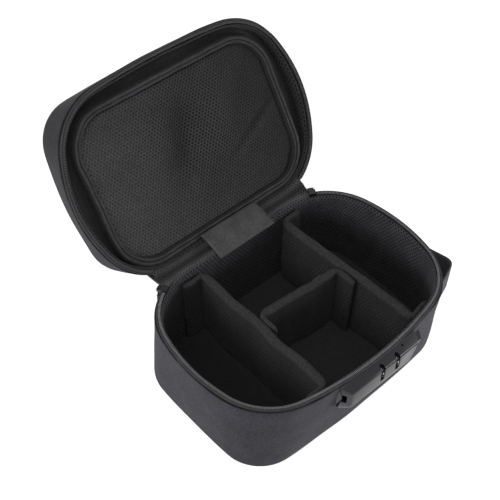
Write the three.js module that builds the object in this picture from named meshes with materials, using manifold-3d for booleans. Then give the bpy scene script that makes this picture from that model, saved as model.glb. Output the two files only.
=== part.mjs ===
// Portable car safe: a padded fabric tub with a zipped lid, a two-dial lock on the front and three
// padded dividers that lift out. Millimetres, +Z up. The origin is on the table under the middle
// of the base, the hinge runs along X at the back (+Y), and the lid is shown standing open.
import * as THREE from "three";
import { mergeVertices } from "three/addons/utils/BufferGeometryUtils.js";
import Module from "manifold-3d";

const wasm = await Module();
wasm.setup();

// The case
const caseWidth = 250;
const caseDepth = 175;
const baseHeight = 93;
const lidHeight = 48;
const openAngle = 125;
const rimCorner = 63;
const shellWall = 4.5;
const liningWall = 2;
const clearance = 0.3;
const base = {
  height: baseHeight,
  frontBow: 7,
  sideBow: 3,
  taper: 4,
  frontLean: 5,
  farCorner: 39,
  edgeRound: 9,
};
const lid = {
  height: lidHeight,
  frontBow: 3,
  sideBow: 5,
  taper: 8,
  frontLean: 0,
  farCorner: 34,
  edgeRound: 14,
};

// The zip: a tape stands on each shell's edge, and the coil is sewn inside the tape
const zipEdge = 6;
const tapeInset = 1;
const tapeThickness = 1.2;
const tapeGap = 1.4;
const coilThickness = 2.2;
const coilHeight = 2;
const coilGap = 1.2;
const zipEndStep = 2;

// The hinge, in cloth: its line lies just outside the back of both rims
const hingeOffset = 0.4;
const bandThickness = 1.1;
const bandReach = 20;
const hingeLiningThickness = 1.6;

// The pad in the lid, with a rolled edge and a dished face
const padSideMargin = 20;
const padFrontMargin = 19.5;
const padBackMargin = 10.5;
const padCorner = 38;
const padRecess = 6;
const padRoll = 9;
const padDish = 4.5;
const padDrawIn = 3;

// Loose padding in the base
const floorPadThickness = 3;
const dividerBelowRim = 9;
const dividerThickness = 8;
const tabThickness = 4.5;
const tabLength = 17;
const stripThickness = 0.8;
const stripWidth = 11;
const leftDivider = { back: -48, front: -46.5, side: -1 };
const rightDivider = { back: 50, front: 59, side: 1 };
const crossDivider = { left: 9, right: 2 };

// The flap over the back compartment
const flapWidth = 64;
const flapCentre = 2;
const flapLength = 28;
const flapThickness = 1.2;
const flapDroop = 13;
const flapRise = 7.4;
const flapBehind = 11.3;

// The grab loop round the right front corner
const loopWidth = 20;
const loopBelowRim = 7;
const loopThickness = 1.8;
const loopStandOff = 17;
const loopFrom = -3;
const loopPeak = -24;
const loopTo = -58;

// The lock. Heights are from its middle, and depths from the front wall at that height
const lockHalfLength = 44;
const lockHeight = 30;
const lockProud = 9;
const lockChamferDepth = 8;
const lockChamferHeight = 5;
const lockBelowRim = 18.5;
const lockSkin = 1.8;
const lockEndSlope = 6;
const lockEndSlant = 12;
const dialPlaces = [-1.8, 16.2];
const dialWidth = 3.6;
const dialRadius = 6.8;
const dialGrip = 0.5;
const dialDepth = 3.1;
const dialLift = 4;
const windowWidth = 4.6;
const windowReach = [-5, 13.5];
const shaftRadius = 1.5;
const webThickness = 1.6;
const webPlaces = [-8.5, 7.2, 23.3];
const webReach = [-7, 11.5];
const pocketReach = { x: [-12, 27], up: [-8, 12] };
const screwPlaces = [{ x: -16, up: 2 }, { x: 24.6, up: -3 }];
const screwRadius = 1.1;
const screwHeadRadius = 2.6;
const screwHeadDepth = 1.4;
const screwSeat = -3;
const screwLength = 6.5;
const bossRadius = 2.8;
const mouthHeight = 10;
const mouthWidth = 5;
const mouthReach = 8;
const buttonStart = 31;
const buttonBack = 0.6;
const buttonProud = 6;
const buttonSlant = 15.8;
const buttonTravel = 3;
const barReach = [-10.9, -8.3];
const barDepth = [1, 3.9];
const hookPlace = [-34, -31];
const hookTop = -3;
const springCoil = 1.5;
const springWire = 0.3;
const springTurns = 5;
const springLift = 8.5;
const springDepth = 2.6;
const pinHole = { x: 26, radius: 0.9, depth: 3 };

// The zip sliders and their pulls
const sliderLength = 7;
const sliderPlate = 0.9;
const sliderFlange = 4.2;
const sliderParked = 26.5;
const pinRadius = 0.7;
const pinLevel = 1.6;
const eyeRadius = 1.8;
const eyeWidth = 3.4;
const earWidth = 1;
const pullLength = 24;
const pullWidth = 6.4;
const pullThickness = 1.4;

// Facets
const cornerSteps = 8;
const runSteps = 6;
const sideSteps = 3;

const degrees = THREE.MathUtils.degToRad;
const backY = caseDepth / 2;
const hingeY = backY + hingeOffset;
const hingeZ = baseHeight;
const cornerX = caseWidth / 2 - rimCorner;
const cornerY = backY - rimCorner;
const dividerTop = baseHeight - dividerBelowRim;

// Solids and geometry

function solid(geometry) {
  const bare = new THREE.BufferGeometry();
  bare.setAttribute("position", geometry.getAttribute("position"));
  bare.setIndex(geometry.getIndex());
  const merged = mergeVertices(bare, 1e-4);
  return new wasm.Manifold(
    new wasm.Mesh({
      numProp: 3,
      vertProperties: Float32Array.from(merged.getAttribute("position").array),
      triVerts: Uint32Array.from(merged.getIndex().array),
    }),
  );
}

function geometryOf(manifold) {
  const mesh = manifold.getMesh();
  const geometry = new THREE.BufferGeometry();
  const positions = Float32Array.from(mesh.vertProperties);
  geometry.setAttribute("position", new THREE.BufferAttribute(positions, 3));
  geometry.setIndex(new THREE.BufferAttribute(Uint32Array.from(mesh.triVerts), 1));
  return geometry;
}

function join(...solids) {
  return solids.reduce((whole, piece) => whole.add(piece));
}

function cut(whole, ...tools) {
  return tools.reduce((left, tool) => left.subtract(tool), whole);
}

function box(x, y, z) {
  const geometry = new THREE.BoxGeometry(x[1] - x[0], y[1] - y[0], z[1] - z[0]);
  geometry.translate((x[0] + x[1]) / 2, (y[0] + y[1]) / 2, (z[0] + z[1]) / 2);
  return solid(geometry);
}

// A cylinder along X, Y or Z with its ends at from and to on that axis
function rod(axis, radius, from, to, centre, sides = 20) {
  const geometry = new THREE.CylinderGeometry(radius, radius, to - from, sides);
  if (axis === "x") geometry.rotateZ(Math.PI / 2);
  if (axis === "z") geometry.rotateX(Math.PI / 2);
  const middle = (from + to) / 2;
  const place = {
    x: [middle, centre[0], centre[1]],
    y: [centre[0], middle, centre[1]],
    z: [centre[0], centre[1], middle],
  }[axis];
  geometry.translate(...place);
  return solid(geometry);
}

// A profile of [y, z] points pushed along X
function prismX(profile, x0, x1) {
  const shape = new THREE.Shape(profile.map(([y, z]) => new THREE.Vector2(y, z)));
  const geometry = new THREE.ExtrudeGeometry(shape, { depth: x1 - x0, bevelEnabled: false });
  const turn = new THREE.Matrix4().makeBasis(
    new THREE.Vector3(0, 1, 0),
    new THREE.Vector3(0, 0, 1),
    new THREE.Vector3(1, 0, 0),
  );
  geometry.applyMatrix4(turn);
  geometry.translate(x0, 0, 0);
  return solid(geometry);
}

// A profile of [x, y] points pushed along Z
function prismZ(profile, z0, z1) {
  const shape = new THREE.Shape(profile.map(([x, y]) => new THREE.Vector2(x, y)));
  const geometry = new THREE.ExtrudeGeometry(shape, { depth: z1 - z0, bevelEnabled: false });
  geometry.translate(0, 0, z0);
  return solid(geometry);
}

// Skins rings of equal count and closes both ends, with the faces turned outwards
function loft(rings) {
  const count = rings[0].length;
  const points = rings.flat();
  const faces = [];
  for (let i = 0; i + 1 < rings.length; i++) {
    for (let k = 0; k < count; k++) {
      const a = i * count + k;
      const b = i * count + ((k + 1) % count);
      const across = points[a].distanceTo(points[b + count]);
      const other = points[b].distanceTo(points[a + count]);
      if (across < other) faces.push([a, b, b + count], [a, b + count, a + count]);
      else faces.push([a, b, a + count], [b, b + count, a + count]);
    }
  }
  for (const end of [0, rings.length - 1]) {
    const middle = new THREE.Vector3();
    rings[end].forEach((p) => middle.add(p));
    points.push(middle.divideScalar(count));
    for (let k = 0; k < count; k++) {
      const a = end * count + k;
      const b = end * count + ((k + 1) % count);
      faces.push(end === 0 ? [b, a, points.length - 1] : [a, b, points.length - 1]);
    }
  }
  const volume = faces.reduce(
    (sum, [a, b, c]) => sum + points[a].dot(points[b].clone().cross(points[c])),
    0,
  );
  const turned = volume < 0 ? faces.map(([a, b, c]) => [a, c, b]) : faces;
  const geometry = new THREE.BufferGeometry().setFromPoints(points);
  geometry.setIndex(turned.flat());
  return solid(geometry);
}

// The outline of the case

// A run that bows out by bow at its middle, between corners whose centres lie 2 * half apart: the
// turn that it takes over from each corner, and its rise above the line between its own ends
function bowedRun(bow, half, corner, steps) {
  if (bow === 0) return { turn: 0, rise: 0, steps };
  const reach = (half ** 2 - bow ** 2) / (2 * bow);
  const turn = Math.atan2(half, reach);
  return { turn, rise: (corner + Math.hypot(half, reach)) * (1 - Math.cos(turn)), steps };
}

// One turn round a rounded rectangle, anticlockwise from the right, with bowed front and sides
function outline(halfWidth, front, back, corner, frontBow, sideBow) {
  const wide = halfWidth - corner;
  const deep = (back - front) / 2 - corner;
  const side = bowedRun(sideBow, deep, corner, sideSteps);
  const runs = [
    bowedRun(0, wide, corner, runSteps),
    side,
    bowedRun(frontBow, wide, corner, runSteps),
    side,
  ];
  const centres = [
    new THREE.Vector2(wide, back - corner),
    new THREE.Vector2(-wide, back - corner),
    new THREE.Vector2(-wide, front + corner),
    new THREE.Vector2(wide, front + corner),
  ];
  const quarter = Math.PI / 2;
  const toward = (turn) => new THREE.Vector2(Math.cos(turn), Math.sin(turn));
  const onCorner = (i, step) => {
    const from = quarter * i + runs[(i + 3) % 4].turn;
    const to = quarter * (i + 1) - runs[i].turn;
    const turn = THREE.MathUtils.lerp(from, to, step / cornerSteps);
    return centres[i].clone().addScaledVector(toward(turn), corner);
  };
  return runs.flatMap((run, i) => {
    const points = [];
    for (let k = 0; k <= cornerSteps; k++) points.push(onCorner(i, k));
    const last = points[cornerSteps];
    const next = onCorner((i + 1) % 4, 0);
    for (let k = 1; k < run.steps; k++) {
      const along = k / run.steps;
      const rise = 4 * run.rise * along * (1 - along);
      points.push(last.clone().lerp(next, along).addScaledVector(toward(quarter * (i + 1)), rise));
    }
    return points;
  });
}

// The case's outline at a level away from the parting plane, moved in by inset
function caseRing(part, level, inset) {
  const far = level / part.height;
  const lean = part.taper * far + inset;
  const bowShare = 1 - 0.6 * far;
  return outline(
    caseWidth / 2 - lean,
    -backY + lean + part.frontLean * far,
    backY - lean,
    THREE.MathUtils.lerp(rimCorner, part.farCorner, far) - inset,
    part.frontBow * bowShare,
    part.sideBow * bowShare,
  );
}

// Rings from the open edge to the far face, with the edge round the far face rounded off
function skinRings(part, edge, inset, bottom) {
  const round = Math.max(part.edgeRound - inset, 2);
  const rings = [];
  const add = (level, extra) =>
    rings.push(caseRing(part, level, inset + extra).map((p) => new THREE.Vector3(p.x, p.y, level)));
  const wallSteps = 3;
  for (let k = 0; k < wallSteps; k++) add(edge + ((bottom - round - edge) * k) / wallSteps, 0);
  const roundSteps = 3;
  for (let k = 0; k <= roundSteps; k++) {
    const turn = (Math.PI / 2) * (k / roundSteps);
    add(bottom - round * (1 - Math.sin(turn)), round * (1 - Math.cos(turn)));
  }
  return rings;
}

// An open tub: from the middle of its inner floor up to the edge and down the outside
function tub(part, edge, inset, wall) {
  const outer = skinRings(part, edge, inset, part.height - inset);
  const inner = skinRings(part, edge, inset + wall, part.height - inset - wall);
  return loft([...inner.reverse(), ...outer]);
}

// The space inside a skin, closed at the edge
function filled(part, edge, inset, bottom = part.height - inset) {
  return loft(skinRings(part, edge, inset, bottom));
}

// Levels run away from the parting plane: down in the base, up in the lid
function inBase(shape) {
  return shape.mirror([0, 0, 1]).translate([0, 0, baseHeight]);
}

function inLid(shape) {
  return shape.translate([0, -hingeY, 0]);
}

// The rim from the end of the zip at the left of the back, round the front, to the right
function zipPath(part) {
  const rim = caseRing(part, 0, 0);
  const around = rim.length;
  const first = cornerSteps + runSteps + zipEndStep;
  const stations = around - first + cornerSteps - zipEndStep;
  const path = [];
  for (let k = 0; k <= stations; k++) {
    const at = rim[(first + k) % around];
    const before = rim[(first + k - 1) % around];
    const after = rim[(first + k + 1) % around];
    const along = after.clone().sub(before).normalize();
    path.push({ at, out: new THREE.Vector2(along.y, -along.x) });
  }
  return path;
}

// A strip along a path, its section given as [inset, level] points
function strip(path, section) {
  return loft(
    path.map(({ at, out }) =>
      section.map(([inset, level]) => {
        const p = at.clone().addScaledVector(out, -inset);
        return new THREE.Vector3(p.x, p.y, level);
      }),
    ),
  );
}

function rectangle(low, high, from, to) {
  return [[low, from], [high, from], [high, to], [low, to]];
}

// Materials

function material(color, roughness, metalness = 0) {
  return new THREE.MeshStandardMaterial({ color, roughness, metalness });
}

const cloth = material(0x2b2b2e, 0.9);
const mesh = material(0x161618, 0.95);
const foam = material(0x202022, 1);
const webbing = material(0x28282b, 0.85);
const tapeCloth = material(0x303033, 0.8);
const coilNylon = material(0x4a4a4e, 0.5);
const lockPlastic = material(0x2c2c30, 0.3);
const dialPlastic = material(0x141416, 0.45);
const steel = material(0x8c8c90, 0.35, 1);
const blackMetal = material(0x1b1b1d, 0.45, 0.6);

function named(name, shape, look) {
  const piece = new THREE.Mesh(geometryOf(shape), look);
  piece.name = name;
  return piece;
}

// The base

const liningInset = shellWall + clearance;
const insideInset = liningInset + liningWall;
const floorTop = insideInset + clearance + floorPadThickness;
const wallY = Math.min(...caseRing(base, lockBelowRim, 0).map((p) => p.y));
const lockZ = baseHeight - lockBelowRim;

// Boxes and rods in the lock's own terms: x, distance out from the wall, height from its middle
function lockBox(x, out, up) {
  return box(x, [wallY - out[1], wallY - out[0]], [lockZ + up[0], lockZ + up[1]]);
}

function lockRod(radius, from, to, x, up, sides = 16) {
  return rod("y", radius, wallY - to, wallY - from, [x, lockZ + up], sides);
}

function lockRodX(radius, x0, x1, out, up, sides = 16) {
  return rod("x", radius, x0, x1, [wallY - out, lockZ + up], sides);
}

function baseShell() {
  const shell = inBase(tub(base, zipEdge, 0, shellWall));
  const pocket = lockBox(pocketReach.x, [-caseDepth / 4, lockProud], pocketReach.up);
  const screwHoles = screwPlaces.flatMap(({ x, up }) => [
    lockRod(screwRadius + clearance, screwSeat - 1, lockProud, x, up),
    lockRod(screwHeadRadius + clearance, -caseDepth / 4, screwSeat + clearance, x, up),
  ]);
  return cut(shell, pocket, ...screwHoles);
}

function baseLining() {
  return inBase(tub(base, zipEdge, liningInset, liningWall));
}

// The space inside the lining, kept gap away from it
function room(gap, bottom) {
  return inBase(filled(base, zipEdge, insideInset + gap, bottom));
}

function floorPad() {
  const slab = box([-caseWidth, caseWidth], [-caseDepth, caseDepth], [0, floorTop]);
  return room(clearance).intersect(slab);
}

const coilInset = tapeInset + tapeThickness + clearance;

function zipTape(part) {
  const section = rectangle(tapeInset, tapeInset + tapeThickness, tapeGap, zipEdge - clearance);
  return strip(zipPath(part), section);
}

function zipCoil(part) {
  const section = rectangle(coilInset, coilInset + coilThickness, coilGap, coilGap + coilHeight);
  return strip(zipPath(part), section);
}

// Dividers: padded panels whose ends fold over and hold by hook strips

const dividerBottom = floorTop + clearance;
const stripGap = stripThickness + 2 * clearance;

function ordered(a, b) {
  return a < b ? [a, b] : [b, a];
}

function dividerX({ back, front }, y) {
  return THREE.MathUtils.mapLinear(y, backY, -backY, back, front);
}

// A side divider's face towards the middle of the base, moved off by gap
function faceX(divider, y, gap) {
  const lean = Math.atan2(divider.front - divider.back, caseDepth);
  return dividerX(divider, y) - (divider.side * (dividerThickness / 2 + gap)) / Math.cos(lean);
}

function sideDivider(divider) {
  const { side } = divider;
  const near = (y) => faceX(divider, y, 0);
  const farSide = (y) => faceX(divider, y, -dividerThickness);
  const panel = prismZ(
    [
      [near(-backY), -backY],
      [farSide(-backY), -backY],
      [farSide(backY), backY],
      [near(backY), backY],
    ],
    dividerBottom,
    dividerTop,
  );
  const space = room(stripGap);
  const tabs = space.subtract(room(stripGap + tabThickness, baseHeight + floorTop));
  const tab = (x, y) => {
    const reach = ordered(x, x + side * (tabLength + dividerThickness / 2));
    return tabs.intersect(box(reach, y, [dividerBottom, dividerTop]));
  };
  return join(
    panel.intersect(space),
    tab(divider.back, [backY - rimCorner, backY]),
    tab(divider.front, [-caseDepth, rimCorner - backY]),
  );
}

const stripReach = [
  dividerBottom + (dividerTop - dividerBottom) / 5,
  dividerTop - (dividerTop - dividerBottom) / 5,
];

function wallStrip(x, side, y) {
  const skin = room(clearance).subtract(room(clearance + stripThickness));
  const start = x + side * dividerThickness / 2;
  return skin.intersect(box(ordered(start, start + side * stripWidth), y, stripReach));
}

const crossEnds = [
  { divider: leftDivider, y: crossDivider.left, side: -1 },
  { divider: rightDivider, y: crossDivider.right, side: 1 },
];

function crossDividerShape() {
  const half = dividerThickness / 2;
  const [left, right] = crossEnds.map(({ divider, y, side }) => {
    const low = y - half - tabLength;
    const outer = (at) => faceX(divider, at, stripGap);
    return [
      [outer(y + half), y + half],
      [outer(low), low],
      [outer(low) - side * tabThickness, low],
      [outer(y - half) - side * tabThickness, y - half],
    ];
  });
  return prismZ([...left, ...right.reverse()], dividerBottom, dividerTop);
}

function crossStrip({ divider, y }) {
  const from = y - dividerThickness / 2;
  const to = from - stripWidth;
  const near = (at) => faceX(divider, at, clearance);
  const off = (at) => faceX(divider, at, clearance + stripThickness);
  const profile = [[near(from), from], [near(to), to], [off(to), to], [off(from), from]];
  return prismZ(divider.side < 0 ? profile : profile.reverse(), ...stripReach);
}

// The cloth hinge: a band outside the back walls and a strip of lining inside them

const lidOut = new THREE.Vector2(-Math.cos(degrees(openAngle)), Math.sin(degrees(openAngle)));
const lidUp = new THREE.Vector2(Math.sin(degrees(openAngle)), Math.cos(degrees(openAngle)));

// A point given in the lid, as distance from the hinge and level, in the open pose
function openLid(distance, level) {
  return [
    hingeY + lidOut.x * distance + lidUp.x * level,
    hingeZ + lidOut.y * distance + lidUp.y * level,
  ];
}

function hingeBand() {
  const baseWall = backY - (base.taper * bandReach) / base.height + clearance;
  const lidWall = hingeOffset + (lid.taper * bandReach) / lid.height - clearance;
  const top = backY + clearance;
  const fold = 1.9;
  return prismX(
    [
      [baseWall, baseHeight - bandReach],
      [baseWall + bandThickness, baseHeight - bandReach],
      [top + bandThickness, openLid(clearance - bandThickness, fold)[1]],
      openLid(lidWall - bandThickness, bandReach),
      openLid(lidWall, bandReach),
      [top, baseHeight],
    ],
    -cornerX,
    cornerX,
  );
}

function hingeLining() {
  const edge = zipEdge - 2 * clearance;
  const inner = insideInset - hingeLiningThickness;
  const lidInner = inner + hingeOffset;
  const rise = 4.6;
  return prismX(
    [
      [backY - inner, baseHeight - edge],
      [backY - inner + 2, baseHeight - edge + rise],
      openLid(lidInner, edge / 3),
      openLid(lidInner - 0.6, edge),
      openLid(lidInner + hingeLiningThickness, edge),
      openLid(lidInner + hingeLiningThickness + 0.6, edge / 3),
      [backY - inner + 1, baseHeight - edge + rise + hingeLiningThickness * 1.3],
      [backY - inner - hingeLiningThickness, baseHeight - edge],
    ],
    -cornerX,
    cornerX,
  );
}

function fabricFlap() {
  const start = new THREE.Vector2(hingeY + flapBehind, hingeZ + flapRise);
  const droop = degrees(flapDroop);
  const along = new THREE.Vector2(-Math.cos(droop), -Math.sin(droop));
  const end = start.clone().addScaledVector(along, flapLength);
  const up = new THREE.Vector2(-Math.sin(droop), Math.cos(droop)).multiplyScalar(flapThickness);
  const profile = [start, start.clone().add(up), end.clone().add(up), end];
  return prismX(
    profile.map((p) => [p.x, p.y]),
    flapCentre - flapWidth / 2,
    flapCentre + flapWidth / 2,
  );
}

// A webbing loop that leaves the wall, stands off round the corner and comes back to it
function grabLoop() {
  const steps = 14;
  const along = [];
  for (let k = 0; k <= steps; k++) {
    const turn = THREE.MathUtils.lerp(loopFrom, loopTo, k / steps);
    const share =
      turn > loopPeak
        ? (loopFrom - turn) / (loopFrom - loopPeak)
        : (turn - loopTo) / (loopPeak - loopTo);
    const radius = rimCorner - 1 + loopStandOff * Math.sin((Math.PI / 2) * share) ** 1.5;
    const a = degrees(turn);
    along.push(new THREE.Vector2(cornerX + radius * Math.cos(a), -cornerY + radius * Math.sin(a)));
  }
  const stations = along.map((at, k) => {
    const before = along[Math.max(k - 1, 0)];
    const after = along[Math.min(k + 1, steps)];
    const way = after.clone().sub(before).normalize();
    return { at, out: new THREE.Vector2(-way.y, way.x) };
  });
  const section = rectangle(0, loopThickness, loopBelowRim, loopBelowRim + loopWidth);
  return inBase(strip(stations, section).subtract(filled(base, 0, -clearance)));
}

// The lock

function lockProfile(inset) {
  const halfBack = lockHeight / 2 - inset;
  const halfFront = lockHeight / 2 - lockChamferHeight - inset * 0.6;
  const behind = lockProud;
  const front = lockProud - inset;
  const shoulder = lockProud - lockChamferDepth;
  return [
    [wallY + behind, lockZ - halfBack],
    [wallY + behind, lockZ + halfBack],
    [wallY - shoulder, lockZ + halfBack],
    [wallY - front, lockZ + halfFront],
    [wallY - front, lockZ - halfFront],
    [wallY - shoulder, lockZ - halfBack],
  ];
}

// Everything beyond a slanted right end that starts at x on top
function beyondRightEnd(x, slant) {
  const half = lockHeight / 2;
  const profile = [
    [x, lockZ + half],
    [x - slant, lockZ - half],
    [2 * lockHalfLength, lockZ - half],
    [2 * lockHalfLength, lockZ + half],
  ];
  const shape = new THREE.Shape(profile.map(([px, z]) => new THREE.Vector2(px, z)));
  const reach = 4 * lockProud;
  const geometry = new THREE.ExtrudeGeometry(shape, { depth: reach, bevelEnabled: false });
  geometry.rotateX(Math.PI / 2);
  geometry.translate(0, wallY + reach / 2, 0);
  return solid(geometry);
}

// Everything beyond the left end, which slopes away from the wall
function beyondLeftEnd(move) {
  const x = -lockHalfLength + move;
  const profile = [
    [x - lockProud, wallY + 2 * lockProud],
    [x - lockProud, wallY - 2 * lockProud],
    [x + lockEndSlope, wallY - 2 * lockProud],
    [x + lockEndSlope, wallY - lockProud],
    [x, wallY],
    [x, wallY + 2 * lockProud],
  ];
  return prismZ(profile, lockZ - lockHeight, lockZ + lockHeight);
}

function lockHousing() {
  const cover = cut(
    prismX(lockProfile(0), -lockHalfLength, lockHalfLength),
    beyondRightEnd(lockHalfLength, lockEndSlant),
    beyondLeftEnd(0),
  );
  const hollow = cut(
    prismX(lockProfile(lockSkin), -lockHalfLength, lockHalfLength + 1),
    beyondLeftEnd(lockSkin * 1.4),
  );
  const face = lockProud - lockSkin / 2;
  const webs = webPlaces.map((x) =>
    lockBox([x - webThickness / 2, x + webThickness / 2], [-1.5, face], webReach),
  );
  const bosses = screwPlaces.map(({ x, up }) => lockRod(bossRadius, -lockProud, face, x, up));
  const inside = join(...webs, ...bosses).intersect(cover);
  const bores = screwPlaces.map(({ x, up }) =>
    lockRod(screwRadius + clearance, -lockProud, screwSeat + screwLength + 0.5, x, up),
  );
  const windows = dialPlaces.map((x) =>
    lockBox([x - windowWidth / 2, x + windowWidth / 2], [0.9, lockProud + 2], windowReach),
  );
  const mouthOut = lockProud - lockSkin;
  const mouth = lockBox(
    [-lockHalfLength - 1, -lockHalfLength + mouthReach],
    [mouthOut - mouthWidth, mouthOut],
    [-mouthHeight / 2, mouthHeight / 2],
  );
  const pin = rod("z", pinHole.radius, lockZ, lockZ + lockHeight, [
    pinHole.x,
    wallY - pinHole.depth,
  ], 12);
  const shaftBore = lockRodX(
    shaftRadius + clearance,
    webPlaces[0] - webThickness,
    webPlaces[2] + webThickness,
    dialDepth,
    dialLift,
  );
  const body = join(cover.subtract(hollow), inside);
  const whole = cut(body, ...windows, ...bores, mouth, pin, shaftBore);
  return whole.subtract(inBase(filled(base, 0, -clearance)));
}

function lockScrew({ x, up }) {
  return join(
    lockRod(screwHeadRadius, screwSeat - screwHeadDepth, screwSeat, x, up, 20),
    lockRod(screwRadius, screwSeat - screwHeadDepth / 2, screwSeat + screwLength, x, up),
  );
}

function dialShaft() {
  const [first, , last] = webPlaces;
  return lockRodX(shaftRadius, first - webThickness / 2, last + webThickness / 2, dialDepth, dialLift);
}

// A wheel with ten finger grips, on the shaft
function dial(x) {
  const grips = 10;
  const profile = [];
  for (let k = 0; k < grips * 3; k++) {
    const turn = degrees((360 * k) / (grips * 3));
    const radius = dialRadius - (k % 3 === 0 ? dialGrip : 0);
    profile.push([
      wallY - dialDepth + radius * Math.cos(turn),
      lockZ + dialLift + radius * Math.sin(turn),
    ]);
  }
  const wheel = prismX(profile, x - dialWidth / 2, x + dialWidth / 2);
  const bore = shaftRadius + clearance;
  return wheel.subtract(lockRodX(bore, x - dialWidth, x + dialWidth, dialDepth, dialLift));
}

// The button fills the housing's right end and carries the bar that hooks the zip pulls
function releaseButton() {
  const button = cut(
    prismX(lockProfile(lockSkin + clearance), buttonStart, 2 * lockHalfLength),
    beyondRightEnd(lockHalfLength + buttonProud, buttonSlant),
    lockBox([0, 2 * lockHalfLength], [-2 * lockProud, buttonBack], [-lockHeight, lockHeight]),
  );
  const bar = lockBox([hookPlace[0], buttonStart + 1], barDepth, barReach);
  const hook = lockBox(hookPlace, barDepth, [barReach[0], hookTop]);
  return join(button, bar, hook);
}

class Helix extends THREE.Curve {
  getPoint(t, target = new THREE.Vector3()) {
    const start = webPlaces[2] + webThickness / 2 + clearance + springWire;
    const end = buttonStart - clearance - springWire;
    const turn = 2 * Math.PI * springTurns * t;
    return target.set(
      THREE.MathUtils.lerp(start, end, t),
      wallY - springDepth + springCoil * Math.cos(turn),
      lockZ + springLift + springCoil * Math.sin(turn),
    );
  }
}

function releaseSpring() {
  const wire = new THREE.Shape();
  wire.absarc(0, 0, springWire, 0, 2 * Math.PI);
  const geometry = new THREE.ExtrudeGeometry(wire, {
    steps: springTurns * 12,
    curveSegments: 3,
    extrudePath: new Helix(),
  });
  return solid(geometry);
}

// Zip sliders, made at the middle of their arc and turned to where they are parked

const arcOffset = [cornerX, cornerY];

// Stations on the back corner's arc, degrees clockwise from +Y about the corner's centre
function arcStations(from, to, steps) {
  const stations = [];
  for (let k = 0; k <= steps; k++) {
    const a = degrees(90 - THREE.MathUtils.lerp(from, to, k / steps));
    const out = new THREE.Vector2(Math.cos(a), Math.sin(a));
    const at = out.clone().multiplyScalar(rimCorner).add(new THREE.Vector2(...arcOffset));
    stations.push({ at, out });
  }
  return stations;
}

function arcPiece(middle, length, section, steps = 2) {
  const half = THREE.MathUtils.radToDeg(length / 2 / rimCorner);
  return strip(arcStations(middle - half, middle + half, steps), section);
}

const sliderOuter = tapeInset - clearance - sliderPlate;
const sliderInner = coilInset + coilThickness + clearance;
const pinInset = sliderOuter - clearance - eyeRadius;

function slider() {
  const top = clearance - coilGap;
  const core = rectangle(sliderOuter, sliderInner + sliderPlate, top, -top);
  const outer = rectangle(sliderOuter, sliderOuter + sliderPlate, top, sliderFlange);
  const inner = rectangle(sliderInner, sliderInner + sliderPlate, top, sliderFlange);
  const plates = [core, outer, inner].map((section) =>
    arcPiece(sliderParked, sliderLength, section),
  );
  const ear = rectangle(pinInset - 1.1, sliderOuter + sliderPlate / 2, pinLevel - 1.2, pinLevel + 1.2);
  const shift = THREE.MathUtils.radToDeg((eyeWidth / 2 + clearance + earWidth / 2) / rimCorner);
  const ears = [-shift, shift].map((turn) => arcPiece(sliderParked + turn, earWidth, ear, 1));
  return inBase(join(...plates, ...ears, alongTangent(pinRadius, eyeWidth + earWidth)));
}

// A rod through the ears, square to the outline
function alongTangent(radius, length) {
  const turn = 90 - sliderParked;
  const shape = rod("y", radius, -length / 2, length / 2, [rimCorner - pinInset, pinLevel], 12);
  return shape.rotate([0, 0, turn]).translate([...arcOffset, 0]);
}

function pull() {
  const x = rimCorner - pinInset;
  const half = pullThickness / 2;
  const eye = rod("y", eyeRadius, -eyeWidth / 2, eyeWidth / 2, [x, pinLevel], 16);
  const neck = box([x - half, x + half], [-eyeWidth / 2, eyeWidth / 2], [pinLevel, pinLevel + 8]);
  const tab = box(
    [x - half, x + half],
    [-pullWidth / 2, pullWidth / 2],
    [pinLevel + 6, pinLevel + pullLength],
  );
  const bore = rod("y", pinRadius + clearance, -eyeWidth, eyeWidth, [x, pinLevel], 12);
  const whole = join(eye, neck, tab).subtract(bore);
  return inBase(whole.rotate([0, 0, 90 - sliderParked]).translate([...arcOffset, 0]));
}

function mirrored(shape) {
  return shape.mirror([1, 0, 0]);
}

// The lid

function padOutline(inset, level) {
  return outline(
    caseWidth / 2 - padSideMargin - inset,
    padFrontMargin - backY + inset,
    backY - padBackMargin - inset,
    Math.max(padCorner - inset, 4),
    0,
    0,
  ).map((p) => new THREE.Vector3(p.x, p.y, level));
}

// The pad, from the middle of its face over the rolled edge and down its drawn-in side
function lidPad() {
  const bottom = lidHeight - insideInset - clearance;
  const lean = (level) => (lid.taper * (level - padRecess)) / lid.height;
  const crease = padRecess + padRoll;
  const middle = (crease + bottom) / 2;
  return loft([
    padOutline(5 * padRoll, padRecess + padDish),
    padOutline(2.6 * padRoll, padRecess + padDish * 0.85),
    padOutline(1.3 * padRoll, padRecess + padDish * 0.55),
    padOutline(padRoll, padRecess + padDish * 0.7),
    padOutline(padRoll * 0.78, padRecess + 0.8),
    padOutline(padRoll * 0.5, padRecess),
    padOutline(padRoll * 0.2, padRecess + 1),
    padOutline(0.4, padRecess + padRoll * 0.4),
    padOutline(0.8, padRecess + padRoll * 0.7),
    padOutline(padDrawIn, crease),
    padOutline(padDrawIn + lean(middle), middle),
    padOutline(lean(bottom) + 3, bottom - 8),
    padOutline(lean(bottom) + 10, bottom),
  ]);
}

// Assembly

const model = new THREE.Group();
const lidGroup = new THREE.Group();
lidGroup.position.set(0, hingeY, hingeZ);
lidGroup.rotation.x = -degrees(openAngle);
model.add(lidGroup);

const backReach = [backY - rimCorner, backY];
const frontReach = [-caseDepth, rimCorner - backY];

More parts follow.
